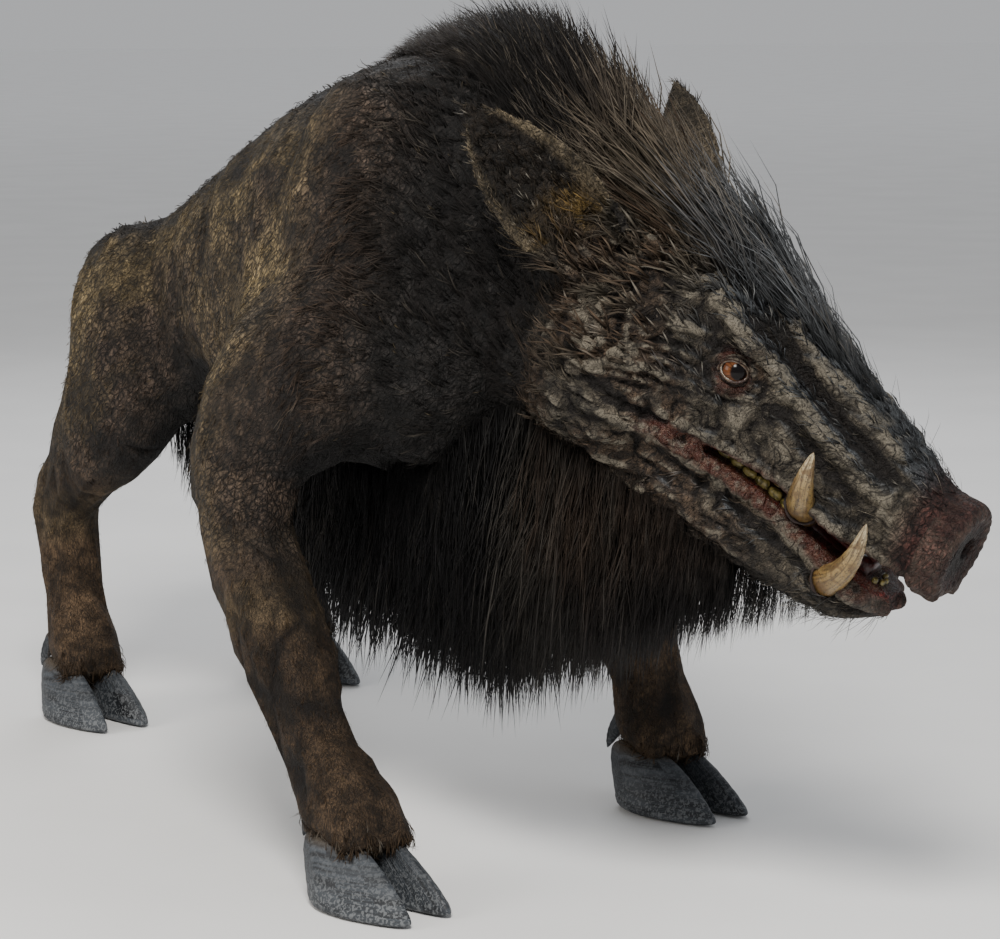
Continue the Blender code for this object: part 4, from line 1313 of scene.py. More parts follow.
@dataclass(frozen=True)
class IvoryFinish:
    """Stained ivory: brown at its root, streaked and specked, and pale at its worn tip."""

    root: Colour = (0.09, 0.048, 0.014)
    ivory: Colour = (0.225, 0.15, 0.056)
    tip: Colour = (0.4, 0.33, 0.205)
    stain: Colour = (0.032, 0.017, 0.007)

    def material(self) -> Material:
        """Makes the material.

        Returns:
            The tusks' material.
        """
        r = Recipe("ivory")
        along = r.attribute("along")
        streaks = r.noise(1.0, 4, r.wrapped((26, 3.0, 1)), 0.8)
        specks = r.noise(420, 3)
        blotch = r.noise(70, 4, warp=0.8)
        base = r.mix(r.ease(along, 0.08, 0.45), self.root, self.ivory)
        base = r.mix(r.ease(along, 0.62, 1.0), base, self.tip)
        base = r.mix(r.ease(streaks, 0.46, 0.66, 0.0, 0.8), base, self.stain)
        base = r.mix(r.ease(blotch, 0.48, 0.64, 0.0, 0.8), base, self.root)
        base = r.mix(r.ease(specks, 0.55, 0.66, 0.0, 0.8), base, self.stain)
        ridges = r.bump(streaks, 0.0012, 0.7)
        pits = r.bump(specks, 0.0005, 0.6, ridges)
        r.surface(Base_Color=base, Roughness=r.ease(blotch, 0.3, 0.7, 0.26, 0.46), Normal=pits)
        r.surface(Specular_IOR_Level=0.5, Subsurface_Weight=0.04, Subsurface_Scale=0.004)
        return r.material


@dataclass(frozen=True)
class HoofFinish:
    """Blue-grey horn, streaked down its wall, ringed by growth and scuffed pale at its toe."""

    horn: Colour = (0.044, 0.051, 0.06)
    dark: Colour = (0.008, 0.009, 0.011)
    scuff: Colour = (0.15, 0.158, 0.165)
    top: Colour = (0.056, 0.038, 0.02)

    def material(self) -> Material:
        """Makes the material.

        Returns:
            The hooves' material.
        """
        r = Recipe("hoof_horn")
        along = r.attribute("along")
        streaks = r.noise(1.0, 4, r.wrapped((95, 5, 1)), 0.5)
        rings = r.noise(1.0, 3, r.wrapped((3, 34, 1)), 0.4)
        chips = r.noise(260, 5, warp=0.8)
        base = r.mix(r.ease(streaks, 0.3, 0.66), self.dark, self.horn)
        base = r.mix(r.ease(rings, 0.52, 0.72, 0.0, 0.4), base, self.dark)
        worn = r.times(r.ease(chips, 0.48, 0.58), r.ease(along, 0.7, 0.1, 0.25, 0.75))
        base = r.mix(worn, base, self.scuff)
        base = r.mix(r.ease(along, 0.78, 0.97, 0.0, 0.85), base, self.top)
        grain = r.bump(streaks, 0.0016, 0.8)
        ringed = r.bump(rings, 0.0022, 0.7, grain)
        chipped = r.bump(chips, 0.0012, 0.8, ringed)
        r.surface(Base_Color=base, Roughness=r.ease(chips, 0.3, 0.7, 0.46, 0.7), Normal=chipped)
        r.surface(Specular_IOR_Level=0.34)
        return r.material


@dataclass(frozen=True)
class WetFinish:
    """Wet flesh of one colour, blotched with a second."""

    name: str
    colour: Colour
    blotch: Colour
    roughness: float = 0.24
    bumps: float = 380.0
    coat: float = 0.35

    def material(self) -> Material:
        """Makes the material.

        Returns:
            The flesh's material.
        """
        r = Recipe(self.name)
        cloud = r.noise(110, 3, warp=0.6)
        papillae = r.cells(self.bumps, way="F1")
        base = r.mix(r.ease(cloud, 0.35, 0.65), self.colour, self.blotch)
        base = r.shaded(base, papillae, 0.1, 0.7, 1.15, 0.7)
        rough = r.ease(cloud, 0.2, 0.8, self.roughness, self.roughness + 0.14)
        normal = r.bump(papillae, 0.0009, 0.5, r.bump(cloud, 0.0015, 0.5))
        r.surface(Base_Color=base, Roughness=rough, Normal=normal)
        r.surface(Specular_IOR_Level=0.4, Coat_Weight=self.coat, Coat_Roughness=0.12)
        return r.material


@dataclass(frozen=True)
class EyeFinish:
    """An eye with a dark pupil, an amber-brown iris and a dark rim, under a clear wet coat."""

    pupil: Colour = (0.003, 0.002, 0.002)
    inner: Colour = (0.092, 0.033, 0.011)
    outer: Colour = (0.062, 0.02, 0.007)
    rim: Colour = (0.008, 0.004, 0.003)
    white: Colour = (0.11, 0.06, 0.038)

    def material(self) -> Material:
        """Makes the material.

        Returns:
            The eyeballs' material, which reads how far each point is from the pupil's middle.
        """
        r = Recipe("eye")
        out = r.attribute("along")
        spokes = r.noise(1.0, 4, r.wrapped((46, 3.0, 1)), 0.3)
        base = r.mix(r.ease(out, 0.32, 0.76), self.inner, self.outer)
        base = r.shaded(base, spokes, 0.25, 0.75, 0.4, 1.75)
        base = r.mix(r.ease(out, 0.33, 0.47, 1.0, 0.0), base, self.pupil)
        base = r.mix(r.ease(out, 0.74, 0.82), base, self.rim)
        base = r.mix(r.ease(out, 0.88, 0.98), base, self.white)
        r.surface(Base_Color=base, Roughness=r.ease(spokes, 0.0, 1.0, 0.1, 0.2))
        r.surface(Specular_IOR_Level=0.1, Coat_Weight=0.22, Coat_Roughness=0.02, Coat_IOR=1.36)
        return r.material


@dataclass(frozen=True)
class ToothFinish:
    """Tartar-stained teeth."""

    enamel: Colour = (0.33, 0.26, 0.085)
    tartar: Colour = (0.085, 0.07, 0.014)

    def material(self) -> Material:
        """Makes the material.

        Returns:
            The teeth's material.
        """
        r = Recipe("tooth")
        cloud = r.noise(160, 4, warp=0.7)
        base = r.mix(r.ease(cloud, 0.4, 0.62), self.enamel, self.tartar)
        r.surface(Base_Color=base, Roughness=r.ease(cloud, 0.2, 0.8, 0.2, 0.42))
        r.surface(Normal=r.bump(cloud, 0.0008, 0.5), Specular_IOR_Level=0.5)
        return r.material


@dataclass(frozen=True)
class FloorFinish:
    """The studio's pale matt floor."""

    colour: Colour = (0.8, 0.797, 0.79)
    # Painted light: the far floor is lighter, making up for the lamps' falloff.
    distant: Colour = (0.98, 0.98, 0.98)

    def material(self) -> Material:
        """Makes the material.

        Returns:
            The floor's material.
        """
        r = Recipe("studio_floor")
        away = r.node("ShaderNodeVectorMath", {0: r.place}, operation="LENGTH").outputs["Value"]
        # Painted light: lighter further out, making up for the lamps' falloff.
        base = r.mix(r.ease(away, 3.0, 26.0), self.colour, self.distant)
        base = r.shaded(base, r.noise(3.0, 3), 0.2, 0.8, 0.97, 1.03)
        r.surface(Base_Color=base, Roughness=0.75, Specular_IOR_Level=0.25)
        return r.material


# ---- The coat ----


@dataclass(frozen=True)
class LockShape:
    """A lock: a few thin closed strands from one root, together about one unit long.

    Widths, spreads and bends are shares of its length.
    """

    strands: int = 4
    joints: int = 3
    width: float = 0.02
    flatness: float = 0.5
    spread: float = 0.12
    bend: float = 0.3
    wave: float = 0.03
    raggedness: float = 0.3

    @property
    def triangles(self) -> int:
        """How many triangles one lock has."""
        return self.strands * (6 * self.joints - 2)

    def mesh(self, name: str, seed: int) -> Mesh:
        """Makes one lock, which stands along +Z and bends towards +X.

        Args:
            name: The mesh's name.
            seed: What its strands' places are drawn from.

        Returns:
            The lock, with how far along each point is and its place in a unit patch.
        """
        rng = np.random.default_rng(seed)
        bm = bmesh.new()
        along = bm.verts.layers.float.new("along")
        patch = bm.loops.layers.uv.new("patch")
        for strand in range(self.strands):
            root = rng.normal(0, 0.3 * self.spread, 2)
            drift = rng.normal(0, 0.75 * self.spread, 2)
            length = 1 - self.raggedness * rng.random()
            phase, twist = rng.uniform(0, 2 * pi, 2)
            angles = 0.15 * twist + turns(3) + pi
            rings = []
            for t in np.arange(self.joints + 1) / self.joints:
                sway = self.wave * t * np.array([sin(phase + 5 * t), cos(phase + 4 * t)])
                x, y = root + drift * t + sway + np.array([self.bend * t * t, 0])
                z = length * (t - 0.25 * self.bend * t * t)
                half = 0.5 * self.width * (0.75 + 0.9 * t - 1.25 * t * t)
                deep, wide = half * self.flatness * np.cos(angles), half * np.sin(angles)
                ring = [(x, y, z)] if t == 1 else [(x + a, y + b, z) for a, b in zip(deep, wide)]
                rings.append([bm.verts.new(spot) for spot in ring])
                for vertex in rings[-1]:
                    vertex[along] = t
            faces = [bm.faces.new(rings[0][::-1])]
            for near, far in zip(rings, rings[1:]):
                for i, j in ((0, 1), (1, 2), (2, 0)):
                    beyond = far if len(far) == 1 else (far[j], far[i])
                    faces.append(bm.faces.new((near[i], near[j], *beyond)))
            for face in faces:
                for corner in face.loops:
                    corner[patch].uv = (corner.vert[along], (strand + 0.5) / self.strands)
        return mesh_of(bm, name)


class CoatTree(NodeTree):
    """The Geometry Nodes that root a lock at each of many points of a skin.

    The skin's attributes say where: "cover" is the share of locks that a place gets, "stand"
    the way that they stand, "lean" the way that they bend and "reach" how long they are.
    """

    INPUTS = (
        ("Density", "Float"), ("Seed", "Int"), ("Stray", "Float"), ("Shortest", "Float"),
        ("Longest", "Float"), ("Patch", "Float"), ("Locks", "Collection"), ("Material", "Material"),
    )

    def __init__(self) -> None:
        """Builds the tree, with its named inputs."""
        super().__init__(bpy.data.node_groups.new("coat", "GeometryNodeTree"))
        face = self.tree.interface
        for way in ("INPUT", "OUTPUT"):
            face.new_socket(name="Geometry", in_out=way, socket_type="NodeSocketGeometry")
        self.keys = {
            name: face.new_socket(name=name, in_out="INPUT", socket_type=f"NodeSocket{kind}").identifier
            for name, kind in self.INPUTS
        }
        self.given = self.node("NodeGroupInput", {}).outputs
        self.node("NodeGroupOutput", {"Geometry": self.finished(self.planted(self.rooted()))})

    def named(self, name: str, kind: str = "FLOAT_VECTOR") -> Socket:
        """Reads one of the skin's attributes."""
        return self.node("GeometryNodeInputNamedAttribute", {"Name": name}, data_type=kind).outputs[0]

    def vectors(self, operation: str, first: object, second: object) -> Socket:
        """One sum on two vectors, or on a vector and a scale."""
        inputs = {0: first, 3 if operation == "SCALE" else 1: second}
        return self.node("ShaderNodeVectorMath", inputs, operation=operation).outputs[0]

    def random(self, seed: int, kind: str, low: object, high: object) -> Socket:
        """A random value for each point, whose seed is added to the tree's."""
        inputs = {"Min": low, "Max": high, "Seed": self.maths("ADD", self.given["Seed"], seed)}
        return next(socket for socket in self.node(
            "FunctionNodeRandomValue", inputs, data_type=kind).outputs if socket.enabled)

    def rooted(self) -> Socket:
        """Scatters the roots over the skin."""
        inputs = {
            "Mesh": self.given["Geometry"], "Seed": self.given["Seed"],
            "Density": self.maths("MULTIPLY", self.given["Density"], self.named("cover", "FLOAT")),
        }
        return self.node("GeometryNodeDistributePointsOnFaces", inputs).outputs["Points"]

    def planted(self, points: Socket) -> Socket:
        """Stands a lock on each root.

        Args:
            points: The roots.

        Returns:
            The locks, as instances.
        """
        stray = self.random(1, "FLOAT_VECTOR", (-1, -1, -1), (1, 1, 1))
        aim = self.vectors("ADD", self.named("stand"), self.vectors("SCALE", stray, self.given["Stray"]))
        stand = self.node("FunctionNodeAlignRotationToVector", {"Vector": aim}, axis="Z").outputs[0]
        turn = self.node("FunctionNodeAlignRotationToVector",
                         {"Rotation": stand, "Vector": self.named("lean")}, axis="X", pivot_axis="Z")
        share = self.random(2, "FLOAT", self.given["Shortest"], self.given["Longest"])
        locks = self.node("GeometryNodeCollectionInfo", {
            "Collection": self.given["Locks"], "Separate Children": True, "Reset Children": True})
        made = self.node("GeometryNodeInstanceOnPoints", {
            "Points": points, "Instance": locks.outputs[0], "Pick Instance": True,
            "Instance Index": self.random(3, "INT", 0, 99), "Rotation": turn.outputs[0],
            "Scale": self.maths("MULTIPLY", share, self.named("reach", "FLOAT"))})
        inputs = {"Geometry": made.outputs[0], "Name": "tint", "Value": self.random(4, "FLOAT", 0.0, 1.0)}
        return self.node("GeometryNodeStoreNamedAttribute", inputs, data_type="FLOAT",
                         domain="INSTANCE").outputs[0]

    def finished(self, locks: Socket) -> Socket:
        """Makes the locks real, maps each one to its root's place, and gives them a material.

        Args:
            locks: The instances.

        Returns:
            The finished mesh.
        """
        real = self.node("GeometryNodeRealizeInstances", {"Geometry": locks}).outputs[0]
        middle = self.vectors("SUBTRACT", self.named("patch"), (0.5, 0.5, 0))
        small = self.vectors("SCALE", middle, self.given["Patch"])
        inputs = {"Geometry": real, "Name": "OFBake",
                  "Value": self.vectors("ADD", self.named("UVMap"), small)}
        mapped = self.node("GeometryNodeStoreNamedAttribute", inputs, data_type="FLOAT2", domain="CORNER")
        inputs = {"Geometry": mapped.outputs[0], "Material": self.given["Material"]}
        return self.node("GeometryNodeSetMaterial", inputs).outputs[0]


@dataclass
class Growth:
    """Where one part of the coat grows, which way it stands and bends, and how long it is."""

    cover: Array
    stand: Array
    lean: Array
    reach: Array


class Coat:
    """All of the boar's hair, in pieces that each follow the lie of the coat over one part."""

    KEPT = ("position", "marking", "along", "tint", "OFBake", "sharp_face")
    VARIANTS = 7
    LOCK_SEED = 100
    PIECE_SEED = 7
    PATCH = 0.003
    BRISTLE = LockShape(strands=5, joints=3, width=0.0135, flatness=0.7, spread=0.1, bend=0.26, wave=0.03)
    CURTAIN = LockShape(strands=5, joints=4, width=0.0095, flatness=0.7, spread=0.09, bend=0.05, wave=0.06,
                        raggedness=0.18)
    FUR = LockShape(strands=4, joints=3, width=0.032, flatness=0.5, spread=0.2, bend=0.32, wave=0.06)
    TUFT = LockShape(strands=3, joints=2, width=0.078, flatness=0.4, spread=0.26, bend=0.3, wave=0.03)
    FINE = LockShape(strands=3, joints=2, width=0.085, flatness=0.5, spread=0.3, bend=0.32, wave=0.03)
    WHISKER = LockShape(strands=1, joints=4, width=0.012, flatness=1.0, spread=0.1, bend=0.22, wave=0.03)

    def __init__(self, skin: Thing, head: HeadFrame) -> None:
        """Reads the skin and works out the lie of the coat over it.

        Args:
            skin: The finished skin.
            head: The head's frame.
        """
        self.skin, self.head = skin, head
        self.points, self.normals = points_of(skin.data), normals_of(skin.data)
        self.zones = Zones.at(self.points, self.normals, head)
        self.x, self.y, self.z = self.points.T
        self.along, self.side, self.up = head.to_head(self.points).T
        self.sky = self.normals[:, 2]
        self.tree = CoatTree()
        self.lie = self.flow()
        self.area = self.point_areas()

    def point_areas(self) -> Array:
        """The area of skin round each of its points."""
        area = np.zeros(len(self.points))
        for face in self.skin.data.polygons:
            for index in face.vertices:
                area[index] += face.area / len(face.vertices)
        return area

    def flow(self) -> Array:
        """The way that the coat lies: back from the snout, then down the sides and legs.

        Returns:
            A direction along the skin for each point.
        """
        zones, head = self.zones, self.head
        x, y, z = self.x, self.y, self.z
        steep = ramp(np.abs(self.normals[:, 0]), 0.25, 0.9)
        lie = np.column_stack([0 * x, np.ones(len(x)), -0.15 - 0.8 * steep])
        pulls = [
            ((0, 0.85, 0.5), ramp(y, -0.18, -0.32) * ramp(z, 0.42, 0.52)),
            ((0, 0.1, -1.0), ramp(z, 0.52, 0.34) * (np.abs(x) > 0.07)),
            ((0, 0.55, -0.75), ramp(z, 0.46, 0.36) * ramp(np.abs(x), 0.12, 0.06)),
            (head.turned([-1.0, 0, 0.12]), zones.head),
            (head.turned([-0.75, 0, -0.6]), zones.head * ramp(self.up, -0.13, -0.2)),
        ]
        for which in Side:
            root, tip = ear_line(which.of("ear"), head)
            own = zones.ear * (np.linalg.norm(self.points - (root + tip) / 2, axis=1) < 0.16)
            pulls.append((unit(tip - root), own))
        pulls.append(((0, 0.2, -1.0), zones.tail))
        for goal, share in pulls:
            lie += (np.array(goal) - lie) * share[:, None]
        swirl = np.column_stack([Grain(seed).at(self.points, 0.055) for seed in (21, 22, 23)])
        return tangent(unit(lie) + 0.32 * swirl, self.normals)

    def lying(self, cover: Array, reach: Array, lift: float, up: float = 0.0) -> Growth:
        """Hair that lies along the skin, lifted off it by some degrees and turned up to the sky."""
        raised = self.lie * cos(radians(lift)) + self.normals * sin(radians(lift))
        return Growth(cover, unit(raised + np.array([0, 0, up])), -self.normals, reach)

    def filling(self, hull: Hulls, stand: Array, near: float, furthest: float, most: Array) -> Growth:
        """Hair that fills a solid of long hair, out to its surface.

        Args:
            hull: The solid.
            stand: Which way the hair grows at each point.
            near: How close to the solid a root has to be.
            furthest: The longest hair.
            most: The share of the hair that each point may get.

        Returns:
            The growth.
        """
        reach = np.zeros(len(self.points))
        index = np.nonzero(most > 0.01)[0]
        reach[index] = hull.reach(self.points[index], stand[index], furthest, near)
        cover = most * ramp(reach, 0.012, 0.035)
        return Growth(cover, stand, stand * 0 + np.array([0, 0.4, -1.0]), reach)

    def grow(self, name: str, growth: Growth, shape: LockShape, triangles: int,
             finish: HairFinish, slot: Slot, *nodes: str, stray: float = 0.16,
             lengths: tuple[float, float] = (0.72, 1.0)) -> Thing:
        """Grows one piece of the coat.

        Args:
            name: Its name.
            growth: Where it grows and how.
            shape: Its locks.
            triangles: About how many triangles it has.
            finish: The hair's finish.
            slot: The record's slot.
            nodes: The CAD nodes that it stands for.
            stray: How far the locks stray from the lie.
            lengths: The shortest and the longest, as shares of the reach.

        Returns:
            The piece, as a plain mesh.
        """
        locks = bpy.data.collections.new(f"{name}_locks")
        for variant in range(self.VARIANTS):
            mesh = shape.mesh(f"{name}_lock_{variant}", self.LOCK_SEED + variant)
            locks.objects.link(bpy.data.objects.new(mesh.name, mesh))
        obj = new_object(name, self.skin.data.copy())
        for key, values in vars(growth).items():
            store(obj.data, key, np.asarray(values, float))
        material = finish.material()
        grown = obj.modifiers.new("coat", "NODES")
        grown.node_group = self.tree.tree
        covered = float((growth.cover * self.area).sum())
        settings = {
            "Density": triangles / shape.triangles / max(covered, 1e-6), "Seed": len(name) * self.PIECE_SEED,
            "Stray": stray, "Shortest": lengths[0], "Longest": lengths[1], "Patch": self.PATCH,
            "Locks": locks, "Material": material,
        }
        for key, value in settings.items():
            grown[self.tree.keys[key]] = value
        obj.update_tag()
        bake_modifiers(obj)
        for key in [a.name for a in obj.data.attributes]:
            if key not in self.KEPT and not key.startswith("."):
                obj.data.attributes.remove(obj.data.attributes[key])
        for helper in list(locks.objects):
            bpy.data.objects.remove(helper)
        bpy.data.collections.remove(locks)
        obj.data.name = name
        dressed(obj, material, slot, *nodes)
        return obj

    def build(self) -> None:
        """Grows every piece of the coat."""
        self.build_mane()
        self.build_curtains()
        self.build_short()
        self.build_face()

    def build_mane(self) -> None:
        """The bristles of the neck and back, and the longer hair beside them on the neck."""
        zones = self.zones
        hull = Hulls("mane_neck", "mane_back")
        stand = unit(self.lie * 0.8 + self.normals * 0.55 + np.array([0, 0, 0.2]))
        allowed = (1 - zones.ear) * (self.z > 0.45)
        crest = self.filling(hull, stand, 0.03, 0.26, allowed)
        crest.lean = self.lie - 0.2 * self.normals
        front = ramp(self.y, -0.24, -0.26)
        finish = HairFinish("mane_hair", (0.85, 0.82, 0.8), 0.4, 1.9, (0.085, 0.072, 0.055), 0.16)
        for name, share, size, node in (("mane_front", front, 176_000, "mane_neck"),
                                        ("mane_rear", 1 - front, 176_000, "mane_back")):
            part = replace(crest, cover=crest.cover * share)
            self.grow(name, part, self.BRISTLE, size, finish, Slot.HAIR, node, stray=0.14)
        beside = ramp(self.y, -0.17, -0.26)
        beside *= ramp(self.along, 0.05, 0.0)
        beside *= (1 - zones.leg) * (1 - zones.ear) * (1 - 0.7 * ramp(crest.reach, 0.01, 0.04))
        beside *= ramp(self.z, 0.36, 0.42)
        length = 0.034 + 0.018 * ramp(self.z, 0.45, 0.75)
        neck = self.lying(beside, length, 20, 0.05)
        finish = HairFinish("neck_hair", (0.95, 0.92, 0.9), 0.45, 1.7, (0.05, 0.043, 0.034), 0.14)
        self.grow("neck_fur", neck, self.FUR, 125_000, finish, Slot.HAIR, stray=0.24)

    def build_curtains(self) -> None:
        """The hair that hangs under the throat, chest and belly, and at the tail's end."""
        finish = HairFinish("curtain_hair", (0.48, 0.5, 0.56), 0.55, 1.6, (0.03, 0.027, 0.024), 0.12)
        drift = Grain(31).at(self.points, 0.1)[:, None] * np.array([0.1, 0.16, 0])
        down = unit(np.array([0, 0.06, -1.0]) + 0.16 * self.normals + drift)
        under = ramp(self.sky, 0.45, 0.05)
        under *= (1 - self.zones.leg) * (1 - self.zones.mouth)
        throat = self.filling(Hulls("throat_fringe"), down, 0.05, 0.34, under)
        left = ramp(self.x, -0.004, 0.004) * ramp(self.along, 0.05, -0.05)
        left = ramp(self.side, -0.004, 0.004) * ramp(self.along, -0.05, 0.05) + left
        for name, share, nodes in (("throat_curtain_left", left, ("throat_fringe",)),
                                   ("throat_curtain_right", 1 - left, ())):
            part = replace(throat, cover=throat.cover * share)
            self.grow(name, part, self.CURTAIN, 185_000, finish, Slot.HAIR, *nodes, stray=0.1,
                      lengths=(0.88, 1.12))
        belly = self.filling(Hulls("belly_fringe"), down, 0.05, 0.32, under)
        self.grow("belly_curtain", belly, self.CURTAIN, 160_000, finish, Slot.HAIR, "belly_fringe",
                  stray=0.12, lengths=(0.85, 1.12))
        dock = ramp(self.y, 0.7, 0.73) * (np.abs(self.x) < 0.06)
        tuft = self.filling(Hulls("tail_tuft"), down, 0.035, 0.2, dock)
        self.grow("tail_hair", tuft, self.CURTAIN, 16_000, finish, Slot.HAIR, "tail_tuft", stray=0.1)

    def build_short(self) -> None:
        """The short coat of the trunk and legs, in tufts that lie almost flat."""
        zones = self.zones
        bare = 1 - np.maximum.reduce([zones.head, zones.ear, zones.mouth])
        trunk = bare * (1 - zones.leg) * (0.35 + 0.65 * ramp(self.sky, -0.9, -0.2))
        length = 0.0165 + 0.01 * ramp(self.sky, 0.35, 0.9)
        length += 0.004 * Grain(33).at(self.points, 0.07)
        fore = ramp(self.y, 0.215, 0.205)
        finish = HairFinish("short_hair", (1.0, 0.97, 0.93), 0.45, 1.5, (0.105, 0.08, 0.044), 0.1)
        for name, share in (("coat_fore", fore), ("coat_hind", 1 - fore)):
            self.grow(name, self.lying(trunk * share, length, 15), self.TUFT, 110_000, finish, Slot.HIDE,
                      stray=0.2)
        legs = bare * zones.leg * (1 - 0.55 * zones.foot)
        self.grow("coat_legs", self.lying(legs, 0.011 + 0.003 * ramp(self.z, 0.2, 0.4), 14), self.TUFT,
                  70_000, finish, Slot.LEG_HIDE, stray=0.2)

    def build_face(self) -> None:
        """The finest tufts: face, forehead, ears and the edges above the hooves."""
        zones, along, up = self.zones, self.along, self.up
        eye = ramp(self.head.eye_distance(self.points), 0.018, 0.034)
        upper, lower = self.head.mouth_edges(along)
        lips = ramp(np.abs(up - (upper + lower) / 2), 0.022, 0.04)
        lips = np.maximum(lips, ramp(along, 0.11, 0.04))
        top = ramp(self.normals @ self.head.turn[:, 2], 0.25, 0.75)
        chin = ramp(self.normals @ self.head.turn[:, 2], -0.15, -0.6)
        face = zones.head * (1 - zones.ear) * (1 - zones.disc) * (1 - zones.mouth) * eye * lips
        cover = face * (0.28 + 1.0 * top + 0.8 * chin + 0.6 * ramp(along, 0.1, 0.02))
        length = 0.0095 + 0.03 * top * ramp(along, 0.26, 0.06) + 0.013 * top + 0.01 * chin
        finish = HairFinish("face_hair", (0.95, 0.95, 0.95), 0.55, 1.6, (0.135, 0.125, 0.105), 0.14)
        self.grow("coat_face", self.lying(cover, length, 16), self.FINE, 100_000, finish, Slot.FACE,
                  stray=0.22)
        rim = Markings(self.head).ear_rim(self.points)
        ears = zones.ear * (0.35 + rim + 0.5 * zones.inner_ear)
        length = 0.0075 + 0.003 * rim + 0.01 * zones.inner_ear * (1 - rim)
        self.grow("coat_ears", self.lying(ears, length, 20), self.FINE, 44_000, finish, Slot.FACE, stray=0.26)
        cuff = ramp(self.z, 0.098, 0.076) * zones.foot
        self.grow("coat_feet", self.lying(cuff, np.full(len(rim), 0.026), 16), self.FINE, 28_000, finish,
                  Slot.LEG_HIDE, stray=0.24)
        snout = face * ramp(along, 0.26, 0.36) * (0.3 + chin)
        whiskers = HairFinish("whisker", (0.5, 0.5, 0.5), 1.0, 1.6)
        self.grow("whiskers", self.lying(snout, np.full(len(rim), 0.042), 48), self.WHISKER, 5_000,
                  whiskers, Slot.HAIR, stray=0.35)


# ---- Eyes, mouth, tusks and hooves ----


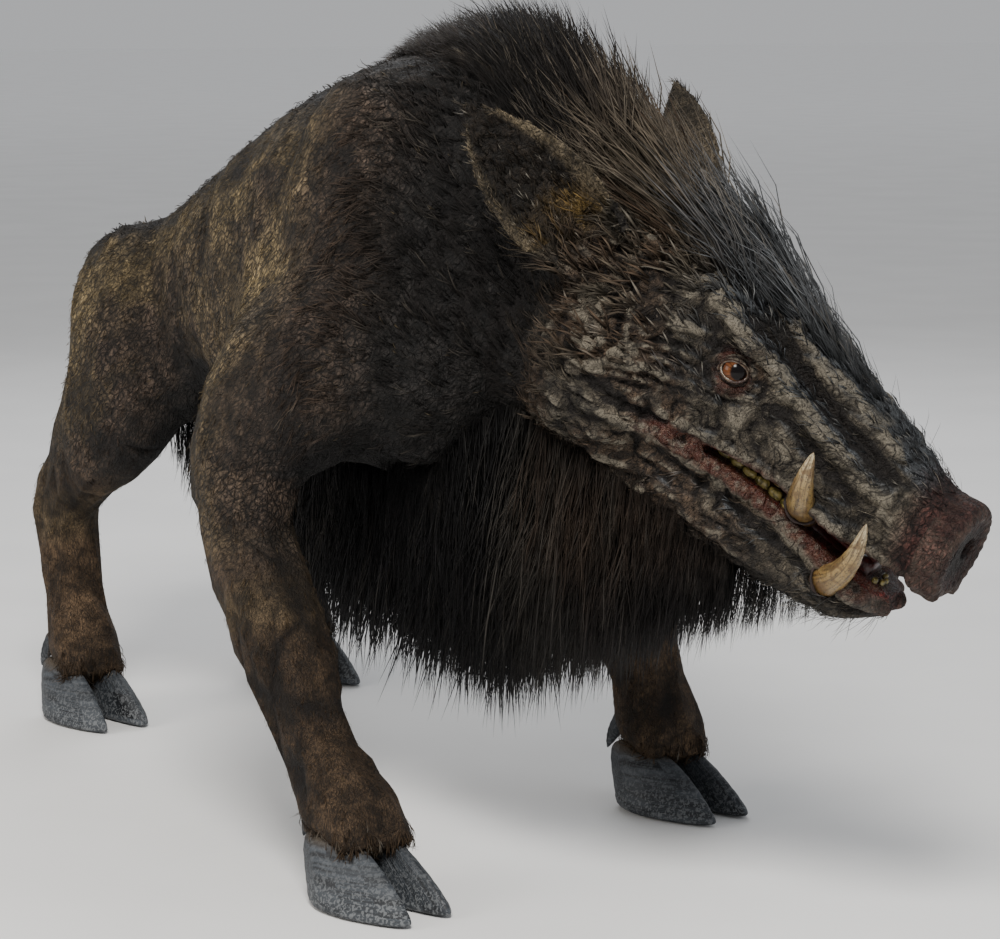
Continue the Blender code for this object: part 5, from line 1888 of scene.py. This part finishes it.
@dataclass(frozen=True)
class Eyes:
    """The two eyeballs with their lids and the wet rims inside the lids."""

    head: HeadFrame
    gaze: Triple = (0.6, 0.72, 0.28)
    outward: Triple = (0.31, 0.93, 0.17)
    rim: float = 0.00115
    cornea_height: float = 0.045
    cornea_width: float = 0.75
    half_width: float = 1.95
    upper_height: float = 0.78
    lower_height: float = 0.8
    reach: float = radians(84)
    shares: tuple[float, ...] = (
        0.0, 0.05, 0.12, 0.22, 0.32, 0.4, 0.48, 0.58, 0.7, 0.8, 0.9, 1.0, 1.0, 0.5, 0.0)
    standing: tuple[float, ...] = (
        -0.4, 1.2, 2.1, 2.0, 1.2, 0.6, 1.3, 2.5, 2.2, 1.2, 1.7, 0.6, -1.6, -1.6, -1.6)

    def build(self) -> None:
        """Makes the pieces of both eyes."""
        ball, lid = EyeFinish().material(), HideFinish().material()
        rim = WetFinish("eye_rim", (0.088, 0.06, 0.033), (0.026, 0.01, 0.006), 0.36).material()
        for which in Side:
            dressed(self.ball(which), ball, Slot.EYE, which.of("eye"))
            dressed(self.lids(which), lid, Slot.FACE)
            dressed(self.rims(which), rim, Slot.FACE)

    def axes(self, direction: Triple, which: Side) -> Array:
        """Axes that look along a direction of the head, as rows: right, up and out."""
        out = unit(self.head.turned(np.array(direction) * [1, which.value, 1]))
        right = unit(np.cross(self.head.turned([0, 0, 1]), out))
        return np.array([right, np.cross(out, right), out])

    def ball(self, which: Side) -> Thing:
        """The eyeball, whose rings run round its gaze.

        Args:
            which: The eye's side.

        Returns:
            Its object.
        """
        centre, axes = centre_of(which.of("eye")), self.axes(self.gaze, which)
        around = turns(48)
        rings = []
        for polar in np.linspace(0.012, pi - 0.012, 42):
            bulge = 1 + self.cornea_height * exp(-((polar / self.cornea_width) ** 4))
            flat = np.column_stack([np.cos(around), np.sin(around)]) * sin(polar)
            local = np.column_stack([flat, np.full_like(around, cos(polar))])
            rings.append(centre + local * self.head.eye_radius * bulge @ axes)
        mesh = loft(np.array(rings), which.of("eye") + "_ball")
        cosine = np.clip(unit(points_of(mesh) - centre) @ axes[2], -1, 1)
        store(mesh, "along", np.arccos(cosine) / (pi / 2))
        return new_object(mesh.name, mesh)

    def almond(self, which: Side, standing: float, count: int) -> Array:
        """The lids' opening, as a closed line just off the eyeball.

        Args:
            which: The eye's side.
            standing: How far it is off the ball.
            count: How many points it has.

        Returns:
            Its points.
        """
        axes = self.axes(self.outward, which)
        around = turns(count)
        height = np.where(np.sin(around) > 0, self.upper_height, self.lower_height)
        across = np.cos(around) * self.half_width
        rise = np.sign(np.sin(around)) * np.abs(np.sin(around)) ** 1.25 * height
        aim = unit(np.column_stack([across, rise, np.ones(count)]))
        return centre_of(which.of("eye")) + aim @ axes * (self.head.eye_radius + standing)

    def lids(self, which: Side) -> Thing:
        """Wrinkled lids from the opening out to the skin, coloured like the skin beside them.

        Args:
            which: The eye's side.

        Returns:
            Their object.
        """
        count, centre, axes = 96, centre_of(which.of("eye")), self.axes(self.outward, which)
        aim = unit(self.almond(which, 0.0, count) - centre) @ axes.T
        first = np.arccos(np.clip(aim[:, 2], -1, 1))
        turn = np.arctan2(aim[:, 1], aim[:, 0])
        hood = 1 + 0.55 * np.maximum(np.sin(turn), 0) ** 2
        stand = np.array(self.standing) * 0.001
        rings = []
        for n in range(count):
            angle = first[n] + (self.reach - first[n]) * np.array(self.shares)
            away = self.head.eye_radius + np.where(stand > 0, stand * hood[n], stand)
            flat = np.column_stack([np.cos(turn[n]) * np.sin(angle), np.sin(turn[n]) * np.sin(angle)])
            rings.append(centre + np.column_stack([flat, np.cos(angle)]) @ axes * away[:, None])
        mesh = loft(np.array(rings), which.of("eye") + "_lids", True)
        points = points_of(mesh)
        away = np.linalg.norm(points - centre, axis=1) - self.head.eye_radius
        wrinkle = Grain(41).creases(points, 0.0055)
        move_points(mesh, points + unit(points - centre) * (wrinkle * 0.0009 * (away > 0.0005))[:, None])
        shade = np.array([0.044, 0.025, 0.016]) * (1 + 0.5 * Grain(44).at(points, 0.006))[:, None]
        store(mesh, "marking", np.column_stack([np.clip(shade, 0.008, 1), np.ones(len(points))]))
        store(mesh, "wet", np.clip(0.35 + 0.45 * Grain(42).at(points, 0.011), 0, 1))
        store(mesh, "face", np.ones(len(points)))
        store(mesh, "leg", np.zeros(len(points)))
        # The relief sets the hide's painted shade where the lids lie close to the ball and in their creases,
        # and painted highlight on their raised parts.
        store(mesh, "relief", np.clip((away - 0.0017) / 0.0014 + 0.5 * wrinkle, -1, 1))
        return new_object(mesh.name, mesh)

    def rims(self, which: Side) -> Thing:
        """The pale wet edge between the lids and the ball, thickest along the lower lid.

        Args:
            which: The eye's side.

        Returns:
            Its object.
        """
        around = turns(56)
        thick = 1 - 0.3 * np.sin(around) + 0.14 * np.sin(around * 7) + 0.1 * np.sin(around * 11)
        line = self.almond(which, 0.0007, len(around))
        mesh = tube(line, self.rim * thick, which.of("eye") + "_rim", True, 8)
        return new_object(mesh.name, mesh)


@dataclass(frozen=True)
class Tusk:
    """One tusk: a flattened curved cone, in the head's frame as (along, side, up)."""

    node: str
    root: Triple
    tip: Triple
    bow: Triple
    half_width: float
    flatness: float = 0.82
    rings: int = 30
    sides: int = 24

    def bend(self, t: Array | float, sign: int) -> tuple[Array, Array]:
        """The tusk's middle line.

        Args:
            t: How far along it, from 0 to 1.
            sign: The tusk's side.

        Returns:
            The place, and the direction there.
        """
        start, end, bow = (np.array(v) * [1, sign, 1] for v in (self.root, self.tip, self.bow))
        control = (start + end) / 2 + bow
        place = (1 - t) ** 2 * start + 2 * t * (1 - t) * control + t**2 * end
        return place, (1 - t) * (control - start) + t * (end - control)

    def across(self, ahead: Array, sign: int) -> Array:
        """The way across the tusk, where its middle line runs ahead."""
        return unit(np.cross(ahead, np.array([0, sign, 0.2])))

    def mesh(self, head: HeadFrame, sign: int) -> Mesh:
        """Makes the tusk on one side, with a ringed and grooved surface.

        Args:
            head: The head's frame.
            sign: The tusk's side.

        Returns:
            Its mesh.
        """
        t = np.linspace(-0.1, 1, self.rings)[:, None]
        path, _ = self.bend(t, sign)
        ahead = unit(np.gradient(path, axis=0))
        across = self.across(ahead, sign)
        out = np.cross(across, ahead)
        share = np.clip(t[:, 0], 0, 1)
        size = self.half_width * ((1 - share) ** 0.62 * 0.97 + 0.03)
        size *= 1 + 0.018 * np.sin(share * 44) + 0.01 * np.sin(share * 91 + 1)
        around = turns(self.sides)
        groove = 1 - 0.055 * np.exp(-((np.cos(around - 1.1) - 1) / 0.05) ** 2)
        rings = []
        for place, wide, deep, half in zip(path, across, out, size):
            ring = np.outer(np.cos(around) * groove, wide)
            ring += np.outer(np.sin(around) * groove * self.flatness, deep)
            rings.append(head.to_world(place + ring * half))
        return loft(np.array(rings), self.node)


@dataclass(frozen=True)
class Mouth:
    """The tusks, teeth, tongue, gums and the dark flesh inside the mouth."""

    head: HeadFrame
    lower_tusk: Tusk = Tusk("tusk_lower", (0.352, 0.036, -0.216), (0.386, 0.085, -0.12),
                            (0.024, 0.014, -0.012), 0.0175)
    upper_tusk: Tusk = Tusk("tusk_upper", (0.306, 0.04, -0.156), (0.308, 0.088, -0.084),
                            (0.004, 0.022, -0.014), 0.018)
    first_tooth: float = 0.205
    tooth_step: float = 0.0165
    tooth_count: int = 6
    tooth_size: Triple = (0.0158, 0.011, 0.0085)
    crown_heights: tuple[float, ...] = (-0.35, 0.0, 0.35, 0.7, 0.9, 1.0, 0.93)
    crown_widths: tuple[float, ...] = (0.9, 0.95, 1.02, 0.98, 0.8, 0.5, 0.25)
    tongue_start: float = 0.25
    tongue_end: float = 0.374
    tongue_half: float = 0.021

    def build(self) -> None:
        """Makes every piece of the mouth."""
        ivory = IvoryFinish().material()
        for tusk in (self.lower_tusk, self.upper_tusk):
            for which in Side:
                name = which.of(tusk.node)
                mesh = tusk.mesh(self.head, which.value)
                dressed(new_object(f"{name}_ivory", mesh), ivory, Slot.IVORY, name)
        gum = WetFinish("gum", (0.07, 0.011, 0.009), (0.028, 0.006, 0.005), 0.34, 380, 0.15)
        socket = WetFinish("socket", (0.02, 0.007, 0.005), (0.01, 0.004, 0.003), 0.7, 380, 0.0)
        wet = WetFinish("tongue_flesh", (0.12, 0.025, 0.021), (0.07, 0.014, 0.012), 0.4, 620, 0.12)
        for mesh, finish, slot, *nodes in (
            (self.flesh(), gum, Slot.TONGUE),
            (self.sockets(), socket, Slot.FACE),
            (joined(list(self.teeth()), "teeth"), ToothFinish(), Slot.IVORY),
            (self.tongue(), wet, Slot.TONGUE, "tongue"),
        ):
            dressed(new_object(mesh.name, mesh), finish.material(), slot, *nodes)

    def sockets(self) -> Mesh:
        """Rolls of gum round the tusks' roots.

        Returns:
            All four, in one mesh.
        """
        around = turns(32)
        thick = 0.0016 * (1 + 0.26 * np.sin(around * 5 + 1) + 0.14 * np.sin(around * 11))
        made = []
        for tusk, share in ((self.lower_tusk, 0.1), (self.upper_tusk, 0.06)):
            for which in Side:
                place, direction = tusk.bend(share, which.value)
                ahead = unit(direction)
                across = tusk.across(ahead, which.value)
                ring = np.outer(np.cos(around), across)
                ring += np.outer(np.sin(around) * 0.86, np.cross(across, ahead))
                path = self.head.to_world(place + ring * tusk.half_width * 1.02)
                made.append(tube(path, thick, "roll", True))
        return joined(made, "tusk_sockets")

    def flesh(self) -> Mesh:
        """The palate and the floor of the mouth, which meet behind the tongue.

        Returns:
            Both, in one mesh.
        """
        around = turns(20)
        side = np.sign(np.cos(around)) * np.abs(np.cos(around)) ** 0.6
        rise = np.sign(np.sin(around)) * np.abs(np.sin(around)) ** 0.6
        made = []
        for above in (True, False):
            rings = []
            for along in np.linspace(self.head.mouth_corner.x + 0.006, self.head.disc_at - 0.044, 36):
                upper, lower = self.head.mouth_edges(along)
                shut = max(ramp(along, 0.345, 0.285), ramp(along, 0.362, 0.38))
                half = 0.03 - 0.016 * ramp(along, 0.25, 0.42)
                edge = upper if above else lower
                face = edge + ((upper + lower) / 2 - edge) * (0.22 + 0.85 * shut)
                back = upper + 0.01 if above else lower - 0.01
                ripple = 1 + 0.05 * sin(along / 0.0022)
                height = (face + back) / 2 + rise * abs(face - back) / 2
                across = side * half * ripple
                rings.append(np.column_stack([np.full_like(around, along), across, height]))
            made.append(loft(self.head.to_world(np.array(rings)), "flesh"))
        return joined(made, "mouth_flesh")

    def teeth(self) -> Iterator[Mesh]:
        """Two rows of rounded cheek teeth on each side, and the small front teeth of the jaw.

        Yields:
            Each tooth's mesh.
        """
        for which in Side:
            for above in (True, False):
                for n in range(self.tooth_count):
                    along = self.first_tooth + self.tooth_step * n
                    upper, lower = self.head.mouth_edges(along)
                    edge = upper + 0.001 if above else lower - 0.001
                    height = min(self.tooth_size[2], 0.52 * (upper - lower))
                    height *= (1 + 0.1 * sin(n * 2.3)) * (-1 if above else 1)
                    yield self.tooth((along, which.value * (0.038 - 0.0009 * n), edge), height,
                                     self.tooth_size)
            for n in range(2):
                along = 0.402 - 0.005 * n
                lower = self.head.mouth_edges(along)[1]
                yield self.tooth((along, which.value * (0.0048 + 0.0085 * n), lower - 0.004), 0.009,
                                 (0.006, 0.0085, 0.01))

    def tooth(self, base: Triple, height: float, size: Triple) -> Mesh:
        """One tooth with a rounded crown that is worn hollow.

        Args:
            base: The middle of its root's end.
            height: Its height, which is below 0 where it hangs.
            size: Its length, then its width.

        Returns:
            The tooth.
        """
        around = turns(14)
        rings = []
        for share, width in zip(self.crown_heights, self.crown_widths):
            lobes = width * (1 + 0.06 * np.cos(around * 4)) / 2
            rings.append(np.column_stack([
                base[0] + np.cos(around) * size[0] * lobes, base[1] + np.sin(around) * size[1] * lobes,
                np.full_like(around, base[2] + height * share),
            ]))
        return loft(self.head.to_world(np.array(rings)), "tooth")

    def tongue(self) -> Mesh:
        """The tongue, which lies on the jaw and has a groove down its middle.

        Returns:
            Its mesh.
        """
        around = turns(24)
        groove = 0.002 * np.exp(-((np.cos(around) / 0.2) ** 2)) * (np.sin(around) > 0)
        rings = []
        for share in np.linspace(0, 1, 30):
            along = self.tongue_start + (self.tongue_end - self.tongue_start) * share
            half = self.tongue_half * sin(pi * (0.16 + 0.8 * share)) ** 0.45
            thick = 0.0058 * sin(pi * (0.2 + 0.76 * share)) ** 0.5
            height = self.head.mouth_edges(along)[1] + 0.0055 + np.sin(around) * thick - groove
            height += 0.002 * share
            rings.append(np.column_stack([np.full_like(around, along), np.cos(around) * half, height]))
        return loft(self.head.to_world(np.array(rings)), "tongue_flesh")


@dataclass(frozen=True)
class Hooves:
    """The eight claws and eight dewclaws, rounded from their CAD solids and grained like horn."""

    levels: int = 3
    grain: float = 0.00022

    def build(self) -> None:
        """Makes the horn of every foot."""
        horn = HoofFinish().material()
        for foot in FEET:
            for kind in ("claw", "dewclaw"):
                nodes = [f"{kind}_{foot}_{place}" for place in ("inner", "outer")]
                mesh = joined([self.horn(node) for node in nodes], f"{kind}s_{foot}")
                dressed(new_object(mesh.name, mesh), horn, Slot.HOOF, *nodes)

    def horn(self, node: str) -> Mesh:
        """One rounded claw, with its height stored and a map that runs round it.

        Args:
            node: Its CAD node.

        Returns:
            Its mesh.
        """
        bm = welded(cad_mesh(node))
        bmesh.ops.dissolve_limit(bm, angle_limit=radians(2), verts=bm.verts, edges=bm.edges)
        bmesh.ops.recalc_face_normals(bm, faces=bm.faces)
        obj = new_object("horn", mesh_of(bm, "horn"))
        modified(obj, "SUBSURF", levels=self.levels, render_levels=self.levels)
        mesh = obj.data
        bpy.data.objects.remove(obj)
        low, high = np.array(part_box(node))
        points = points_of(mesh)
        small, tall = points.min(axis=0), points.max(axis=0)
        points = low + (points - small) / (tall - small) * (high - low)
        move_points(mesh, points)
        share = (points[:, 2] - low[2]) / (high[2] - low[2])
        middle = (low + high) / 2
        around = np.arctan2(points[:, 0] - middle[0], middle[1] + 0.3 * (high[1] - low[1]) - points[:, 1])
        normals = normals_of(mesh)
        rings = np.sin(share * 40 + 2 * np.sin(around * 3))
        grain = np.sin(around * 60) * self.grain + rings * self.grain
        points = points + normals * (grain * (share > 0.05))[:, None]
        points[:, 2] = np.maximum(points[:, 2], low[2])
        move_points(mesh, points)
        store(mesh, "along", share)
        wrap = mesh.uv_layers.new(name="UVMap")
        corners = np.empty(len(mesh.loops), int)
        mesh.loops.foreach_get("vertex_index", corners)
        flat = np.column_stack([around / (2 * pi) + 0.5, share])[corners]
        wrap.data.foreach_set("uv", flat.astype(np.float32).ravel())
        return mesh


# ---- The studio ----


@dataclass(frozen=True)
class SoftBox:
    """A square soft light that looks at the boar."""

    name: str
    place: Triple
    size: float
    watts: float
    colour: Colour = (1.0, 1.0, 1.0)

    def build(self, target: Vector) -> None:
        """Adds the light, turned to its target."""
        light = bpy.data.lights.new(self.name, "AREA")
        light.size, light.energy, light.color = self.size, self.watts, self.colour
        aimed(self.name, light, Vector(self.place), target)


@dataclass(frozen=True)
class Studio:
    """A plain pale floor, a pale sky, soft boxes and the camera."""

    target: Triple = (0.0766, -0.0628, 0.412)
    azimuth: float = -28.4
    elevation: float = 9.06
    distance: float = 3.42
    lens: float = 104.4
    sensor: float = 36.0
    floor_half: float = 60.0
    sky: Colour = (0.8, 0.81, 0.83)
    sky_strength: float = 0.6
    boxes: tuple[SoftBox, ...] = (
        SoftBox("key", (-1.5, -2.5, 3.2), 1.2, 195, (1.0, 0.97, 0.92)),
        SoftBox("fill", (3.2, -2.4, 1.6), 2.4, 22, (0.9, 0.95, 1.0)),
        SoftBox("back", (1.6, 3.0, 2.8), 1.8, 46, (0.95, 0.97, 1.0)),
        SoftBox("side", (-3.4, 0.6, 1.8), 1.6, 50, (1.0, 0.95, 0.88)),
    )

    def build(self) -> None:
        """Sets up the stage, the lights and the camera."""
        self.floor()
        world = bpy.data.worlds.new("sky")
        bpy.context.scene.world = world
        world.use_nodes = True
        sky = world.node_tree.nodes["Background"]
        sky.inputs["Color"].default_value = (*self.sky, 1)
        sky.inputs["Strength"].default_value = self.sky_strength
        for box in self.boxes:
            box.build(Vector(self.target))
        self.camera()

    def floor(self) -> None:
        """A wide flat floor just under the hooves."""
        half = self.floor_half
        mesh = bpy.data.meshes.new("floor")
        mesh.from_pydata([(-half, -half, 0), (half, -half, 0), (half, half, 0), (-half, half, 0)], [],
                         [(0, 1, 2, 3)])
        obj = new_object("floor", mesh)
        mesh.materials.append(FloorFinish().material())
        obj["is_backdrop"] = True

    def camera(self) -> None:
        """A long lens, a little above the boar's back and before its right shoulder."""
        azimuth, elevation = radians(self.azimuth), radians(self.elevation)
        level = Vector((sin(azimuth), -cos(azimuth), 0))
        back = level * cos(elevation) + Vector((0, 0, sin(elevation)))
        camera = bpy.data.cameras.new("camera")
        camera.lens, camera.sensor_width = self.lens, self.sensor
        target = Vector(self.target)
        bpy.context.scene.camera = aimed("camera", camera, target + back * self.distance, target)


def main() -> None:
    """Builds every part of the boar in order, then the studio, and measures the two sizes."""
    logging.basicConfig(level=logging.INFO, format="%(message)s")
    head = HeadFrame()
    skin = Skin(head).build()
    Markings(head).paint(skin.data)
    Coat(skin, head).build()
    dressed(skin, HideFinish().material(), Slot.HIDE, *FLESH)
    Eyes(head).build()
    Mouth(head).build()
    Hooves().build()
    Studio().build()
    sizes = {"cad": CAD_BOX, "model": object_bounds()}
    {name: [list(corner) for corner in box] for name, box in sizes.items()}


if __name__ == "__main__":
    main()
